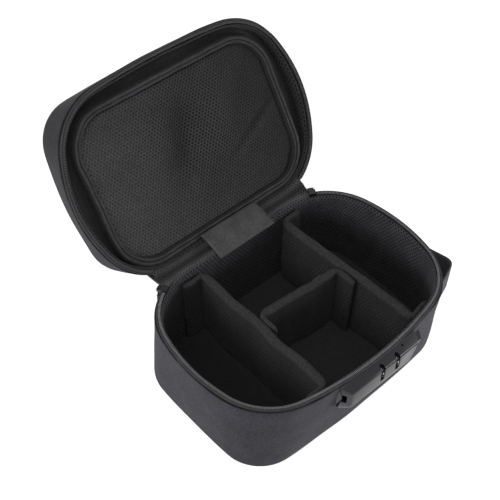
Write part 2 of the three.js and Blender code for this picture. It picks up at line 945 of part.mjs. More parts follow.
model.add(
  named("base_shell", baseShell(), cloth),
  named("base_lining", baseLining(), mesh),
  named("floor_pad", floorPad(), mesh),
  named("base_zip_tape", inBase(zipTape(base)), tapeCloth),
  named("base_zip_coil", inBase(zipCoil(base)), coilNylon),
  named("divider_left", sideDivider(leftDivider), mesh),
  named("divider_right", sideDivider(rightDivider), mesh),
  named("divider_cross", crossDividerShape(), mesh),
  named("hook_strip_left_back", wallStrip(leftDivider.back, -1, backReach), foam),
  named("hook_strip_left_front", wallStrip(leftDivider.front, -1, frontReach), foam),
  named("hook_strip_right_back", wallStrip(rightDivider.back, 1, backReach), foam),
  named("hook_strip_right_front", wallStrip(rightDivider.front, 1, frontReach), foam),
  named("hook_strip_cross_left", crossStrip(crossEnds[0]), foam),
  named("hook_strip_cross_right", crossStrip(crossEnds[1]), foam),
  named("hinge_band", hingeBand(), cloth),
  named("hinge_lining", hingeLining(), mesh),
  named("fabric_flap", fabricFlap(), webbing),
  named("grab_loop", grabLoop(), webbing),
  named("lock_housing", lockHousing(), lockPlastic),
  named("lock_screw_left", lockScrew(screwPlaces[0]), steel),
  named("lock_screw_right", lockScrew(screwPlaces[1]), steel),
  named("dial_shaft", dialShaft(), steel),
  named("dial_left", dial(dialPlaces[0]), dialPlastic),
  named("dial_right", dial(dialPlaces[1]), dialPlastic),
  named("release_button", releaseButton(), dialPlastic),
  named("release_spring", releaseSpring(), steel),
  named("slider_left", mirrored(slider()), blackMetal),
  named("slider_right", slider(), blackMetal),
  named("pull_left", mirrored(pull()), blackMetal),
  named("pull_right", pull(), blackMetal),
);

lidGroup.add(
  named("lid_shell", inLid(tub(lid, zipEdge, 0, shellWall)), cloth),
  named("lid_lining", inLid(tub(lid, zipEdge, liningInset, liningWall)), mesh),
  named("lid_zip_tape", inLid(zipTape(lid)), tapeCloth),
  named("lid_zip_coil", inLid(zipCoil(lid)), coilNylon),
  named("lid_pad", inLid(lidPad()), mesh),
);

export default model;
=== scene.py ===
import math

import bmesh
import bpy
import numpy as np
from mathutils import Matrix, Vector, noise


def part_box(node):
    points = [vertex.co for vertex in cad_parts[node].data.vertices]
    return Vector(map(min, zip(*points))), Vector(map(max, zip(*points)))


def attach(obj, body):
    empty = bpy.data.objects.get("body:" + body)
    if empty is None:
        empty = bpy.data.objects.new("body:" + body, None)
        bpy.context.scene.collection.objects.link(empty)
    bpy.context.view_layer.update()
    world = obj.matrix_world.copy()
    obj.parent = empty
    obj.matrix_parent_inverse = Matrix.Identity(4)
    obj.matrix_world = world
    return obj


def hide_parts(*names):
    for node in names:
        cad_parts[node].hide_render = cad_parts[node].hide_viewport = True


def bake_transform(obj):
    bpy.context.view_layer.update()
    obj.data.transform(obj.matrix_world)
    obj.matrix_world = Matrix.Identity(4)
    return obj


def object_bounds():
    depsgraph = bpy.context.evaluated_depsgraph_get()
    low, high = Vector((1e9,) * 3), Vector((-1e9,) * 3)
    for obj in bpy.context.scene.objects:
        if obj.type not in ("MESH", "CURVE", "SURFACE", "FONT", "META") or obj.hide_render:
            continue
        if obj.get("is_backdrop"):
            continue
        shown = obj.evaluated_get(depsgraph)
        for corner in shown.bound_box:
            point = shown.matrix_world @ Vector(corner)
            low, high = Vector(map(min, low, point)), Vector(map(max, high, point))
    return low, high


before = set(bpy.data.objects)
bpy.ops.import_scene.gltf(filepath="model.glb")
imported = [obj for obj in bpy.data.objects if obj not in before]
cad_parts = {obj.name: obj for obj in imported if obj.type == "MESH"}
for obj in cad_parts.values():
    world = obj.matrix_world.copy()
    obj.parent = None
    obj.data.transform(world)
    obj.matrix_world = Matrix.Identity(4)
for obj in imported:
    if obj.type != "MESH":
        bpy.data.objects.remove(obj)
cad_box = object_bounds()


# The view and the studio. The camera stands in front of the lock side's left end, looking down
# into the open case. A white floor runs off into a white room, and large soft lamps stand left,
# right and above, so that the walls facing the camera stay a little darker than those beside it.
mm = 0.001
camera_place = Vector((-0.4188, -0.3712, 0.7878))
camera_yaw = math.radians(43.74)
camera_pitch = math.radians(49.14)
camera_roll = math.radians(2.34)
camera_lens = 74.24
film_width = 36
view_end = 50
floor_size = 12.0
floor_drop = 0.2 * mm
room_light = 0.05
floor_glow = 0.9
white = (1.0, 1.0, 1.0, 1.0)
paper_white = (0.93, 0.93, 0.93, 1.0)


def add_object(name, data):
    added = bpy.data.objects.new(name, data)
    bpy.context.scene.collection.objects.link(added)
    return added


def aim_camera():
    ahead = Vector(
        (
            math.sin(camera_yaw) * math.cos(camera_pitch),
            math.cos(camera_yaw) * math.cos(camera_pitch),
            -math.sin(camera_pitch),
        )
    )
    level = ahead.cross(Vector((0, 0, 1))).normalized()
    top = level.cross(ahead)
    right = level * math.cos(camera_roll) + top * math.sin(camera_roll)
    up = top * math.cos(camera_roll) - level * math.sin(camera_roll)
    turn = Matrix((right, up, -ahead)).transposed().to_4x4()
    data = bpy.data.cameras.new("camera")
    data.lens = camera_lens
    data.sensor_width = film_width
    data.clip_end = view_end
    camera = add_object("camera", data)
    camera.matrix_world = Matrix.Translation(camera_place) @ turn
    bpy.context.scene.camera = camera


class Field:
    """A shader socket that takes part in sums."""

    def __init__(self, nodes, socket):
        self.nodes = nodes
        self.socket = socket

    def _with(self, operation, *others):
        return self.nodes.node("ShaderNodeMath", {"operation": operation}, [self, *others])

    def __add__(self, other):
        return self._with("ADD", other)

    __radd__ = __add__

    def __sub__(self, other):
        return self._with("SUBTRACT", other)

    def __rsub__(self, other):
        return self.nodes.node("ShaderNodeMath", {"operation": "SUBTRACT"}, [other, self])

    def __mul__(self, other):
        return self._with("MULTIPLY", other)

    __rmul__ = __mul__

    def __truediv__(self, other):
        return self._with("DIVIDE", other)

    def fraction(self):
        return self._with("FRACT")

    def sine(self):
        return self._with("SINE")

    def root(self):
        return self._with("SQRT")

    def least(self, other):
        return self._with("MINIMUM", other)

    def most(self, other):
        return self._with("MAXIMUM", other)

    def step(self, low, high, start=0.0, end=1.0):
        """Smoothly from start at low to end at high."""
        settings = {"interpolation_type": "SMOOTHSTEP"}
        return self.nodes.node("ShaderNodeMapRange", settings, [self, low, high, start, end])


class Nodes:
    """The nodes that feed one shader."""

    def __init__(self, owner, shader):
        owner.use_nodes = True
        self.tree = owner.node_tree
        self.shader = self.tree.nodes[shader]

    def node(self, kind, settings=None, values=(), output=0):
        made = self.tree.nodes.new(kind)
        for key, value in (settings or {}).items():
            setattr(made, key, value)
        pairs = values.items() if isinstance(values, dict) else enumerate(values)
        for key, value in pairs:
            self.feed(made.inputs[key], value)
        return Field(self, made.outputs[output])

    def feed(self, socket, value):
        if isinstance(value, Field):
            self.tree.links.new(value.socket, socket)
        else:
            socket.default_value = value

    def set(self, socket, value):
        self.feed(self.shader.inputs[socket], value)

    def seen_directly(self):
        """1 on rays from the camera, off gloss or through glass, 0 on the rest."""
        rays = ("Is Camera Ray", "Is Glossy Ray", "Is Transmission Ray")
        camera, gloss, glass = (self.node("ShaderNodeLightPath", output=ray) for ray in rays)
        return camera.most(gloss).most(glass)


class Looks(Nodes):
    """One material's nodes, ending in a Principled shader."""

    def __init__(self, name, **shader_values):
        self.material = bpy.data.materials.new(name)
        super().__init__(self.material, "Principled BSDF")
        for key, value in shader_values.items():
            self.set(key.replace("_", " "), value)

    def place(self, kind, axis):
        """One coordinate in metres: kind is Object, or UV for the place on the cloth."""
        whole = self.node("ShaderNodeTexCoord", output=kind)
        return self.node("ShaderNodeSeparateXYZ", values=[whole], output=axis)

    def stored(self, name):
        """A number kept at each point of the piece."""
        return self.node("ShaderNodeAttribute", {"attribute_name": name}, output="Fac")

    def object_noise(self, size, detail=2.0):
        place = self.node("ShaderNodeTexCoord", output="Object")
        values = {"Vector": place, "Scale": 1 / size, "Detail": detail}
        return self.node("ShaderNodeTexNoise", values=values)

    def shade(self, color, amount):
        """The colour, times a number that varies over the surface."""
        grey = self.node("ShaderNodeCombineColor", values=[amount, amount, amount])
        settings = {"data_type": "RGBA", "blend_type": "MULTIPLY"}
        # The factor and the two colours go by number, because the node's names repeat
        values = {0: 1.0, 6: (*color, 1), 7: grey}
        return self.node("ShaderNodeMix", settings, values, output=2)

    def bump(self, height, depth, strength=1.0):
        """height from 0 to 1 over depth metres."""
        values = {"Strength": strength, "Distance": depth, "Height": height}
        self.set("Normal", self.node("ShaderNodeBump", values=values))


def light_room():
    bpy.context.scene.world = bpy.data.worlds.new("room")
    room = Nodes(bpy.context.scene.world, "Background")
    room.set("Color", white)
    room.set("Strength", room.seen_directly() * (1 - room_light) + room_light)


def lay_floor():
    half = floor_size / 2
    corners = [(-half, -half), (half, -half), (half, half), (-half, half)]
    data = bpy.data.meshes.new("floor")
    data.from_pydata([(x, y, -floor_drop) for x, y in corners], [], [(0, 1, 2, 3)])
    paper = Looks("white paper", Roughness=1.0, Specular_IOR_Level=0.0, Emission_Strength=floor_glow)
    paper.set("Base Color", paper_white)
    glow = paper.seen_directly()
    paper.set("Emission Color", paper.node("ShaderNodeCombineColor", values=[glow, glow, glow]))
    data.materials.append(paper.material)
    add_object("floor", data)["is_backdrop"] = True


def hang_lamp(name, place, aim, size, power):
    data = bpy.data.lights.new(name, "AREA")
    data.shape = "DISK"
    data.size = size
    data.energy = power
    lamp = add_object(name, data)
    turn = (Vector(aim) - Vector(place)).to_track_quat("-Z", "Y")
    lamp.matrix_world = Matrix.Translation(place) @ turn.to_matrix().to_4x4()
    lamp.visible_camera = False


bpy.context.scene.view_settings.view_transform = "Standard"
aim_camera()
light_room()
lay_floor()
hang_lamp("left lamp", place=(-0.9, 0.15, 0.5), aim=(0, 0.05, 0.12), size=0.5, power=2.8)
hang_lamp("right lamp", place=(0.55, -0.7, 0.14), aim=(0, 0, 0.08), size=0.4, power=3.2)
hang_lamp("top lamp", place=(-0.4, -0.3, 1.1), aim=(0, 0, 0.1), size=0.5, power=2.4)


# The base's outer skin: fine plain-weave cloth bonded over a stiff foam tub. The walls lean in
# towards a rounded foot, the front and sides bow out a little, and the cloth turns in over the
# top edge, where it leaves a narrow groove beside the zip.
case_width = 250 * mm
case_depth = 175 * mm
rim_corner = 63 * mm
shell_wall = 4.5 * mm
zip_edge = 6 * mm
base_part = dict(
    height=93 * mm,
    front_bow=7 * mm,
    side_bow=3 * mm,
    taper=4 * mm,
    front_lean=5 * mm,
    far_corner=39 * mm,
    edge_round=9 * mm,
)
bow_loss = 0.6
back_y = case_depth / 2
cloth_color = (0.066, 0.063, 0.078)
cloth_sheen = dict(Sheen_Weight=0.12, Sheen_Roughness=0.4)
thread_pitch = 1.1 * mm
thread_depth = 0.12 * mm
fibre_size = 2 * mm
blotch_size = 17 * mm
shell_ripple = dict(amount=0.7 * mm, size=38 * mm)
corner_steps = 18
front_steps = 26
side_steps = 16


def bowed_run(bow, half, corner):
    """A run that bows out by bow at its middle, between corners whose centres lie 2 * half apart:
    the turn it takes over from each corner, and its rise above the line between its own ends."""
    if bow == 0:
        return 0.0, 0.0
    reach = (half**2 - bow**2) / (2 * bow)
    turn = math.atan2(half, reach)
    return turn, (corner + math.hypot(half, reach)) * (1 - math.cos(turn))


def outline(half_width, front, back, corner, front_bow, side_bow):
    """One turn round a rounded rectangle, anticlockwise from the right, front and sides bowed."""
    wide = half_width - corner
    deep = (back - front) / 2 - corner
    side = (*bowed_run(side_bow, deep, corner), side_steps)
    runs = [
        (0.0, 0.0, front_steps),
        side,
        (*bowed_run(front_bow, wide, corner), front_steps),
        side,
    ]
    centres = [
        (wide, back - corner),
        (-wide, back - corner),
        (-wide, front + corner),
        (wide, front + corner),
    ]
    quarter = math.pi / 2
    arcs = []
    for i, (x, y) in enumerate(centres):
        start, end = quarter * i + runs[i - 1][0], quarter * (i + 1) - runs[i][0]
        turn = np.linspace(start, end, corner_steps + 1)
        arcs.append(np.c_[x + corner * np.cos(turn), y + corner * np.sin(turn)])
    points = []
    for i, (_, rise, steps) in enumerate(runs):
        along = np.arange(1, steps)[:, None] / steps
        out = np.array((math.cos(quarter * (i + 1)), math.sin(quarter * (i + 1))))
        run = arcs[i][-1] * (1 - along) + arcs[(i + 1) % 4][0] * along
        points += [arcs[i], run + 4 * rise * along * (1 - along) * out]
    return np.vstack(points)


def case_ring(part, level, inset):
    """The case's outline at a level away from the parting plane, moved in by inset."""
    far = level / part["height"]
    lean = part["taper"] * far + inset
    corner = rim_corner + (part["far_corner"] - rim_corner) * far - inset
    bow_share = 1 - bow_loss * far
    return outline(
        case_width / 2 - lean,
        -back_y + lean + part["front_lean"] * far,
        back_y - lean,
        corner,
        part["front_bow"] * bow_share,
        part["side_bow"] * bow_share,
    )


def at_level(plan, level):
    return np.c_[plan, np.full(len(plan), level)]


def rings_of(part, profile):
    """A ring for each (inset, level) point of a profile, with its height as the level."""
    return [at_level(case_ring(part, level, inset), level) for inset, level in profile]


def wall_profile(part, inset, edge, steps=16, round_steps=8):
    """From the open edge to the far face, with the edge round the far face rounded off."""
    bottom = part["height"] - inset
    radius = max(part["edge_round"] - inset, 2 * mm)
    levels = np.linspace(edge, bottom - radius, steps)[:-1]
    profile = [(inset, level) for level in levels]
    for turn in np.linspace(0, math.pi / 2, round_steps):
        across, along = radius * (1 - math.cos(turn)), radius * (1 - math.sin(turn))
        profile.append((inset + across, bottom - along))
    return profile


def in_base(points):
    return np.c_[points[:, :2], base_part["height"] - points[:, 2]]


def mesh_piece(name, points, faces, places):
    """An object from points, faces and each face's corner places on the cloth, in metres."""
    data = bpy.data.meshes.new(name)
    data.from_pydata([tuple(p) for p in points], [], faces)
    layer = data.uv_layers.new(name="UVMap")
    layer.data.foreach_set("uv", np.array([uv for face in places for uv in face]).ravel())
    data.polygons.foreach_set("use_smooth", [True] * len(data.polygons))
    return add_object(name, data)


def face_outwards(piece):
    work = bmesh.new()
    work.from_mesh(piece.data)
    bmesh.ops.recalc_face_normals(work, faces=work.faces)
    work.to_mesh(piece.data)
    work.free()
    return piece


def loft(name, rings, hoop=False, flat=None):
    """Skins closed rings of equal count, joined into a hoop or with both ends closed. Cloth places
    run round the rings and along them, or where flat(ring number) is true are plain x and y."""
    count = len(rings[0])
    steps = [np.linalg.norm(np.diff(r, axis=0, append=r[:1]), axis=1) for r in rings]
    span = float(np.mean([s.sum() for s in steps]))
    around = rings + rings[:1] if hoop else rings
    gaps = [float(np.linalg.norm(b - a, axis=1).mean()) for a, b in zip(around, around[1:])]
    travelled = np.cumsum([0.0] + gaps)
    points = [p for ring in rings for p in ring]
    faces = []
    places = []
    for i in range(len(around) - 1):
        for k in range(count):
            a = i * count + k
            b = i * count + (k + 1) % count
            above = (i + 1) % len(rings) * count - i * count
            faces.append((a, b, b + above, a + above))
            if flat and flat(i):
                places.append([tuple(points[v][:2]) for v in faces[-1]])
                continue
            u0, u1 = span * k / count, span * (k + 1) / count
            v0, v1 = travelled[i], travelled[i + 1]
            places.append([(u0, v0), (u1, v0), (u1, v1), (u0, v1)])
    for end in () if hoop else (0, len(rings) - 1):
        middle = len(points)
        points.append(np.mean(rings[end], axis=0))
        for k in range(count):
            a = end * count + k
            b = end * count + (k + 1) % count
            faces.append((b, a, middle) if end == 0 else (a, b, middle))
            places.append([tuple(points[v][:2]) for v in faces[-1]])
    return face_outwards(mesh_piece(name, points, faces, places))


def ripple(rings, seed, amount, size):
    """Moves the rings' points by smooth noise, which without a seed would differ in each run."""
    noise.seed_set(seed)
    return [
        np.array([p + np.array(noise.noise_vector(Vector(p) / size)) * amount for p in ring])
        for ring in rings
    ]


def woven_cloth(name, color, pitch, depth, grain=0.25, tone=None, **shader_values):
    """Plain weave: threads over and under each other, with a fine uneven tone. tone(looks) may
    lighten or darken parts."""
    looks = Looks(name, Roughness=0.85, Specular_IOR_Level=0.25, **shader_values)
    across, along = looks.place("UV", "X"), looks.place("UV", "Y")
    turn = 2 * math.pi / pitch
    weave = (across * turn).sine() * (along * turn).sine() * 0.5 + 0.5
    fibre = looks.object_noise(fibre_size) * grain * 2 + (1 - grain)
    broad = looks.object_noise(blotch_size, detail=5.0) + 0.5
    amount = fibre * broad * (weave * 0.35 + 0.82)
    if tone:
        amount = amount * tone(looks)
    looks.set("Base Color", looks.shade(color, amount))
    looks.bump(weave * 0.7 + fibre * 0.3, depth, 0.7)
    return looks.material


def wear(piece, material):
    piece.data.materials.clear()
    piece.data.materials.append(material)


def finish(piece, material, body):
    """Gives a finished piece its material, and lets it ride on a body."""
    wear(piece, material)
    if body:
        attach(piece, body)


outer_cloth = woven_cloth(
    "outer cloth", cloth_color, thread_pitch, thread_depth, grain=0.85, **cloth_sheen
)


def shell_rings(part):
    """The cloth-covered tub: inner floor, inner wall, turned-in top edge, wall and foot."""
    inner = wall_profile(part, shell_wall, zip_edge + 1 * mm, steps=5, round_steps=4)
    lip = [
        (shell_wall * 0.6, zip_edge + 0.4 * mm),
        (1.6 * mm, zip_edge + 0.2 * mm),
        (0.9 * mm, zip_edge - 1.6 * mm),
        (0.55 * mm, zip_edge - 2.1 * mm),
        (0.2 * mm, zip_edge - 1.9 * mm),
        (0.02 * mm, zip_edge - 1.2 * mm),
    ]
    outer = wall_profile(part, 0.0, zip_edge + 0.5 * mm)
    return rings_of(part, inner[::-1] + lip + outer)


base_rings = ripple([in_base(r) for r in shell_rings(base_part)], seed=3, **shell_ripple)
for ring in base_rings:
    ring[:, 2] = np.maximum(ring[:, 2], 0.0)
base_shell = loft("base_cloth", base_rings)
finish(base_shell, outer_cloth, "base")
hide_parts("base_shell")


# The lining: a thick spacer mesh with rows of small holes, over thin foam. It rolls over the
# top of the wall beside the zip and runs down into the corners, a little uneven as glued cloth
# is. The loose floor pad is covered with a closer mesh.
lining_inset = 4.8 * mm
lining_wall = 2.2 * mm
inside_inset = lining_inset + lining_wall
floor_top = 10.2 * mm
lining_ripple = dict(amount=0.5 * mm, size=22 * mm)
mesh_color = (0.05, 0.05, 0.052)
wall_mesh_color = (0.049, 0.0495, 0.055)
lining_holes = dict(pitch=3.4 * mm, rows=2.9 * mm, depth=0.9 * mm)
floor_holes = dict(hole=0.6 * mm, pitch=2.6 * mm, rows=2.2 * mm, depth=0.5 * mm)
yarn_size = 1.5 * mm
patch_size = 22 * mm


def holed_mesh(name, color, hole, pitch, rows, depth, hole_tone=0.35, tone=None, grain=0.4):
    """Rows of round holes, each row set half a pitch along from the next. hole_tone is how light a
    hole is, as a number or a function of looks. tone(looks) may lighten or darken parts."""
    looks = Looks(name, Roughness=0.8, Specular_IOR_Level=0.2, Sheen_Weight=0.08)
    across, along = looks.place("UV", "X"), looks.place("UV", "Y")
    nearest = None
    for shift in (0.0, 0.5):
        x = ((across / pitch + shift).fraction() - 0.5) * pitch
        y = ((along / (2 * rows) + shift).fraction() - 0.5) * (2 * rows)
        distance = (x * x + y * y).root()
        nearest = distance if nearest is None else nearest.least(distance)
    cover = nearest.step(hole * 0.6, hole * 1.35)
    yarn = looks.object_noise(yarn_size) * grain * 2 + (1 - grain)
    broad = looks.object_noise(patch_size) * 0.4 + 0.8
    inside = hole_tone(looks) if callable(hole_tone) else hole_tone
    amount = (cover * (1 - inside) + inside) * yarn * broad
    if tone:
        amount = amount * tone(looks)
    looks.set("Base Color", looks.shade(color, amount))
    looks.bump(cover * (yarn * 0.2 + 0.8), depth, 0.8)
    return looks.material


def lining_rings(part):
    lip = [
        (lining_inset, zip_edge + 6 * mm),
        (lining_inset, zip_edge - 1 * mm),
        (lining_inset + 0.15 * mm, zip_edge - 2.2 * mm),
        (lining_inset + 0.7 * mm, zip_edge - 2.9 * mm),
        (lining_inset + 1.5 * mm, zip_edge - 2.6 * mm),
        (inside_inset + 0.1 * mm, zip_edge - 1.2 * mm),
        (inside_inset + 0.4 * mm, zip_edge + 1.5 * mm),
    ]
    wall = wall_profile(part, inside_inset, zip_edge + 5 * mm, steps=20)
    outside = wall_profile(part, lining_inset, zip_edge + 6 * mm, steps=5, round_steps=4)
    return rings_of(part, outside[::-1] + lip + wall)


def rim_tone(looks):
    """Painted light: the lining is lighter towards the rim and darker deeper in the tub, as painted
    shade, in soft patches.
    """
    rim = base_part["height"]
    patches = looks.object_noise(15 * mm) * 1.1 + 0.45
    return looks.place("Object", "Z").step(rim - 48 * mm, rim - 5 * mm, 1.05, 2.2) * patches


def floor_tone(looks):
    """Painted shade: the loose pad is darker towards the left wall, where the left compartment lies
    in shade.
    """
    return looks.place("Object", "X").step(-75 * mm, -25 * mm, 0.45, 1.0)


wall_mesh = holed_mesh(
    "wall mesh", wall_mesh_color, hole=1.05 * mm, **lining_holes, hole_tone=0.12, tone=rim_tone
)
floor_mesh = holed_mesh("floor mesh", mesh_color, **floor_holes, tone=floor_tone)
base_lining = loft(
    "base_lining_mesh",
    ripple([in_base(r) for r in lining_rings(base_part)], seed=11, **lining_ripple),
)
finish(base_lining, wall_mesh, "base")
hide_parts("base_lining")


def floor_pad_rings():
    low = base_part["height"] - (inside_inset + 0.3 * mm)
    high = base_part["height"] - floor_top
    profile = [
        (inside_inset + 3.2 * mm, low),
        (inside_inset + 1.2 * mm, low - 0.8 * mm),
        (inside_inset + 0.6 * mm, (low + high) / 2),
        (inside_inset + 1.2 * mm, high + 0.5 * mm),
        (inside_inset + 2.6 * mm, high),
        (inside_inset + 14 * mm, high - 0.2 * mm),
        (inside_inset + 26 * mm, high),
    ]
    return rings_of(base_part, profile)


floor_pad = loft("floor_pad_cloth", [in_base(r) for r in floor_pad_rings()], flat=lambda i: i >= 3)
finish(floor_pad, floor_mesh, "base")
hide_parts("floor_pad")


# The zip: a close tape sewn to each shell's edge, turned in flat, with a coil of nylon teeth
# along its inner edge. It runs from one back corner round the front to the other, and the
# sliders wait at its ends.
tape_inset = 1.3 * mm
# The tape is painted darker than its fold, as painted shade under the teeth
shaded_tape_color = (0.025, 0.025, 0.027)
fold_color = (0.09, 0.09, 0.096)
# The lid's teeth are the base's nylon painted darker, as painted shade
teeth_color_lid_shaded = {"base": (0.42, 0.42, 0.43), "lid": (0.14, 0.14, 0.145)}
tooth_pitch = 1.27 * mm
tooth_length = 2.2 * mm
tooth_radius = 0.3 * mm
tooth_sides = 8
teeth_inset = 3.8 * mm
teeth_level = 1.25 * mm
tape_threads = dict(pitch=0.8 * mm, depth=0.15 * mm)
fold_inset = tape_inset + 0.5 * mm
fold_level = 1.75 * mm
fold_reach = 0.62 * mm
fold_height = 0.85 * mm
corner_x = case_width / 2 - rim_corner
corner_y = back_y - rim_corner
zip_end_turn = math.radians(22.5)


def zip_line(part):
    """Rim points and outward directions from the left end of the zip to the right end."""
    rim = case_ring(part, 0.0, 0.0)
    behind = np.abs(rim[:, 0]) < corner_x + rim_corner * math.sin(zip_end_turn)
    behind &= rim[:, 1] > corner_y
    keep = [k for k in range(len(rim)) if not behind[k]]
    gap = next(i for i in range(len(keep)) if keep[i] - keep[i - 1] not in (1, 1 - len(rim)))
    keep = keep[gap:] + keep[:gap]
    line = rim[keep]
    along = np.gradient(line, axis=0)
    along /= np.linalg.norm(along, axis=1)[:, None]
    return line, np.c_[along[:, 1], -along[:, 0]]


def sweep(name, line, out, section, place):
    """Carries an (inset, level) section along a line and closes its ends."""
    rings = []
    for at, away in zip(line, out):
        ring = np.array([[*(at - away * inset), level] for inset, level in section])
        rings.append(place(ring))
    return loft(name, rings)


tape_section = [
    (tape_inset, zip_edge - 0.3 * mm),
    (tape_inset - 0.1 * mm, 2.1 * mm),
    (tape_inset + 0.1 * mm, 1.35 * mm),
    (tape_inset + 0.6 * mm, 0.95 * mm),
    (tape_inset + 1.15 * mm, 1.3 * mm),
    (tape_inset + 1.3 * mm, 2.3 * mm),
    (teeth_inset + 1.3 * mm, 2.5 * mm),
    (teeth_inset + 1.3 * mm, 3.0 * mm),
    (tape_inset + 1.3 * mm, 2.9 * mm),
    (tape_inset + 0.8 * mm, zip_edge - 0.3 * mm),
]
fold_section = [
    (fold_inset + fold_reach * math.cos(turn), fold_level + fold_height * math.sin(turn))
    for turn in np.linspace(0, 2 * math.pi, 10, endpoint=False)
]
tape_cloth = woven_cloth("zip tape", shaded_tape_color, **tape_threads)
fold_cloth = woven_cloth("zip fold", fold_color, **tape_threads)


def coil_nylon(body, color):
    """The teeth's plastic; the lid's row is painted darker than the base's, as painted shade."""
    looks = Looks(f"{body} teeth", Roughness=0.42)
    looks.set("Base Color", looks.shade(color, looks.object_noise(6 * mm) * 0.3 + 0.85))
    return looks.material


nylon = {body: coil_nylon(body, color) for body, color in teeth_color_lid_shaded.items()}


def add_socket(tree, name, kind, flow="INPUT"):
    return tree.interface.new_socket(name=name, in_out=flow, socket_type=kind)


def teeth_tree():
    """Small bars laid across a line at a steady pitch."""
    tree = bpy.data.node_groups.new("zip teeth", "GeometryNodeTree")
    add_socket(tree, "Line", "NodeSocketGeometry")
    for name in ("Pitch", "Length", "Radius"):
        add_socket(tree, name, "NodeSocketFloat")
    add_socket(tree, "Nylon", "NodeSocketMaterial")
    add_socket(tree, "Teeth", "NodeSocketGeometry", "OUTPUT")
    made = {}
    for key, kind in {
        "in": "NodeGroupInput",
        "out": "NodeGroupOutput",
        "curve": "GeometryNodeMeshToCurve",
        "even": "GeometryNodeResampleCurve",
        "bar": "GeometryNodeMeshCylinder",
        "lie": "GeometryNodeTransform",
        "tangent": "GeometryNodeInputTangent",
        "turn": "FunctionNodeAlignRotationToVector",
        "set": "GeometryNodeInstanceOnPoints",
        "real": "GeometryNodeRealizeInstances",
        "finish": "GeometryNodeSetMaterial",
    }.items():
        made[key] = tree.nodes.new(kind)
    made["even"].mode = "LENGTH"
    made["bar"].inputs["Vertices"].default_value = tooth_sides
    made["lie"].inputs["Rotation"].default_value = (math.pi / 2, 0, 0)
    made["turn"].axis = "X"
    for source, output, target, entry in (
        ("in", "Line", "curve", "Mesh"),
        ("curve", "Curve", "even", "Curve"),
        ("in", "Pitch", "even", "Length"),
        ("in", "Radius", "bar", "Radius"),
        ("in", "Length", "bar", "Depth"),
        ("bar", "Mesh", "lie", "Geometry"),
        ("tangent", "Tangent", "turn", "Vector"),
        ("even", "Curve", "set", "Points"),
        ("lie", "Geometry", "set", "Instance"),
        ("turn", "Rotation", "set", "Rotation"),
        ("set", "Instances", "real", "Geometry"),
        ("real", "Geometry", "finish", "Geometry"),
        ("in", "Nylon", "finish", "Material"),
        ("finish", "Geometry", "out", "Teeth"),
    ):
        tree.links.new(made[source].outputs[output], made[target].inputs[entry])
    return tree


def plain_mesh(piece):
    """The piece's mesh with its modifiers worked out."""
    bpy.context.view_layer.update()
    graph = bpy.context.evaluated_depsgraph_get()
    return bpy.data.meshes.new_from_object(piece.evaluated_get(graph), depsgraph=graph)


def run_tree(name, tree, source, values):
    """The tree's result on a source mesh, as a plain mesh of its own."""
    modifier = source.modifiers.new("tree", "NODES")
    modifier.node_group = tree
    for item in tree.interface.items_tree:
        if item.in_out == "INPUT" and item.name in values:
            modifier[item.identifier] = values[item.name]
    data = plain_mesh(source)
    bpy.data.objects.remove(source)
    return add_object(name, data)


def line_object(name, points):
    data = bpy.data.meshes.new(name)
    data.from_pydata([tuple(p) for p in points], [(k, k + 1) for k in range(len(points) - 1)], [])
    return add_object(name, data)


tooth_tree = teeth_tree()


def zip_half(body, part, place):
    line, out = zip_line(part)
    tape = sweep(f"{body}_tape", line, out, tape_section, place)
    finish(tape, tape_cloth, body)
    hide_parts(f"{body}_zip_tape")
    fold = sweep(f"{body}_tape_fold", line, out, fold_section, place)
    finish(fold, fold_cloth, body)
    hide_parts(f"{body}_zip_tape")
    flat = at_level(line - out * teeth_inset, teeth_level)
    values = {
        "Pitch": tooth_pitch,
        "Length": tooth_length,
        "Radius": tooth_radius,
        "Nylon": nylon[body],
    }
    teeth = run_tree(f"{body}_teeth", tooth_tree, line_object("teeth line", flat), values)
    corners = np.array([v.co for v in teeth.data.vertices])
    teeth.data.vertices.foreach_set("co", place(corners).astype(np.float32).ravel())
    teeth.data.update()
    face_outwards(teeth)
    finish(teeth, nylon[body], body)
    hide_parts(f"{body}_zip_coil")


zip_half("base", base_part, in_base)


# The lid's outer skin, lining and zip, made as the base's are: a shallower tub whose walls lean
# in more towards a rounder crown. It stands open, leaning back on its cloth hinge, and its cloth
# is the base's cloth painted darker, as painted shade.
lid_part = dict(
    height=48 * mm,
    front_bow=3 * mm,
    side_bow=5 * mm,
    taper=8 * mm,
    front_lean=0.0,
    far_corner=34 * mm,
    edge_round=14 * mm,
)
# The base's outer cloth painted darker, as painted shade on the lid
shaded_lid_cloth_color = (0.044, 0.0426, 0.0485)
hinge_y = back_y + 0.4 * mm
hinge_z = base_part["height"]
open_angle = math.radians(125)
open_turn = (
    Matrix.Translation((0, hinge_y, hinge_z))
    @ Matrix.Rotation(-open_angle, 4, "X")
    @ Matrix.Translation((0, -hinge_y, -hinge_z))
)


def in_lid(points):
    """Levels go up from the parting plane, and the lid is then turned open about its hinge."""
    raised = np.c_[points[:, :2], hinge_z + points[:, 2], np.ones(len(points))]
    return (np.array(open_turn) @ raised.T).T[:, :3]


lid_cloth = woven_cloth(
    "lid cloth", shaded_lid_cloth_color, thread_pitch, thread_depth, grain=0.6, **cloth_sheen
)
lining_mesh = holed_mesh("lining mesh", mesh_color, hole=1 * mm, **lining_holes, hole_tone=0.15)
lid_shell = loft(
    "lid_cloth", [in_lid(r) for r in ripple(shell_rings(lid_part), seed=7, **shell_ripple)]
)
finish(lid_shell, lid_cloth, "lid")
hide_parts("lid_shell")
lid_lining = loft(
    "lid_lining_mesh",
    [in_lid(r) for r in ripple(lining_rings(lid_part), seed=17, **lining_ripple)],
)
finish(lid_lining, lining_mesh, "lid")
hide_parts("lid_lining")
zip_half("lid", lid_part, in_lid)


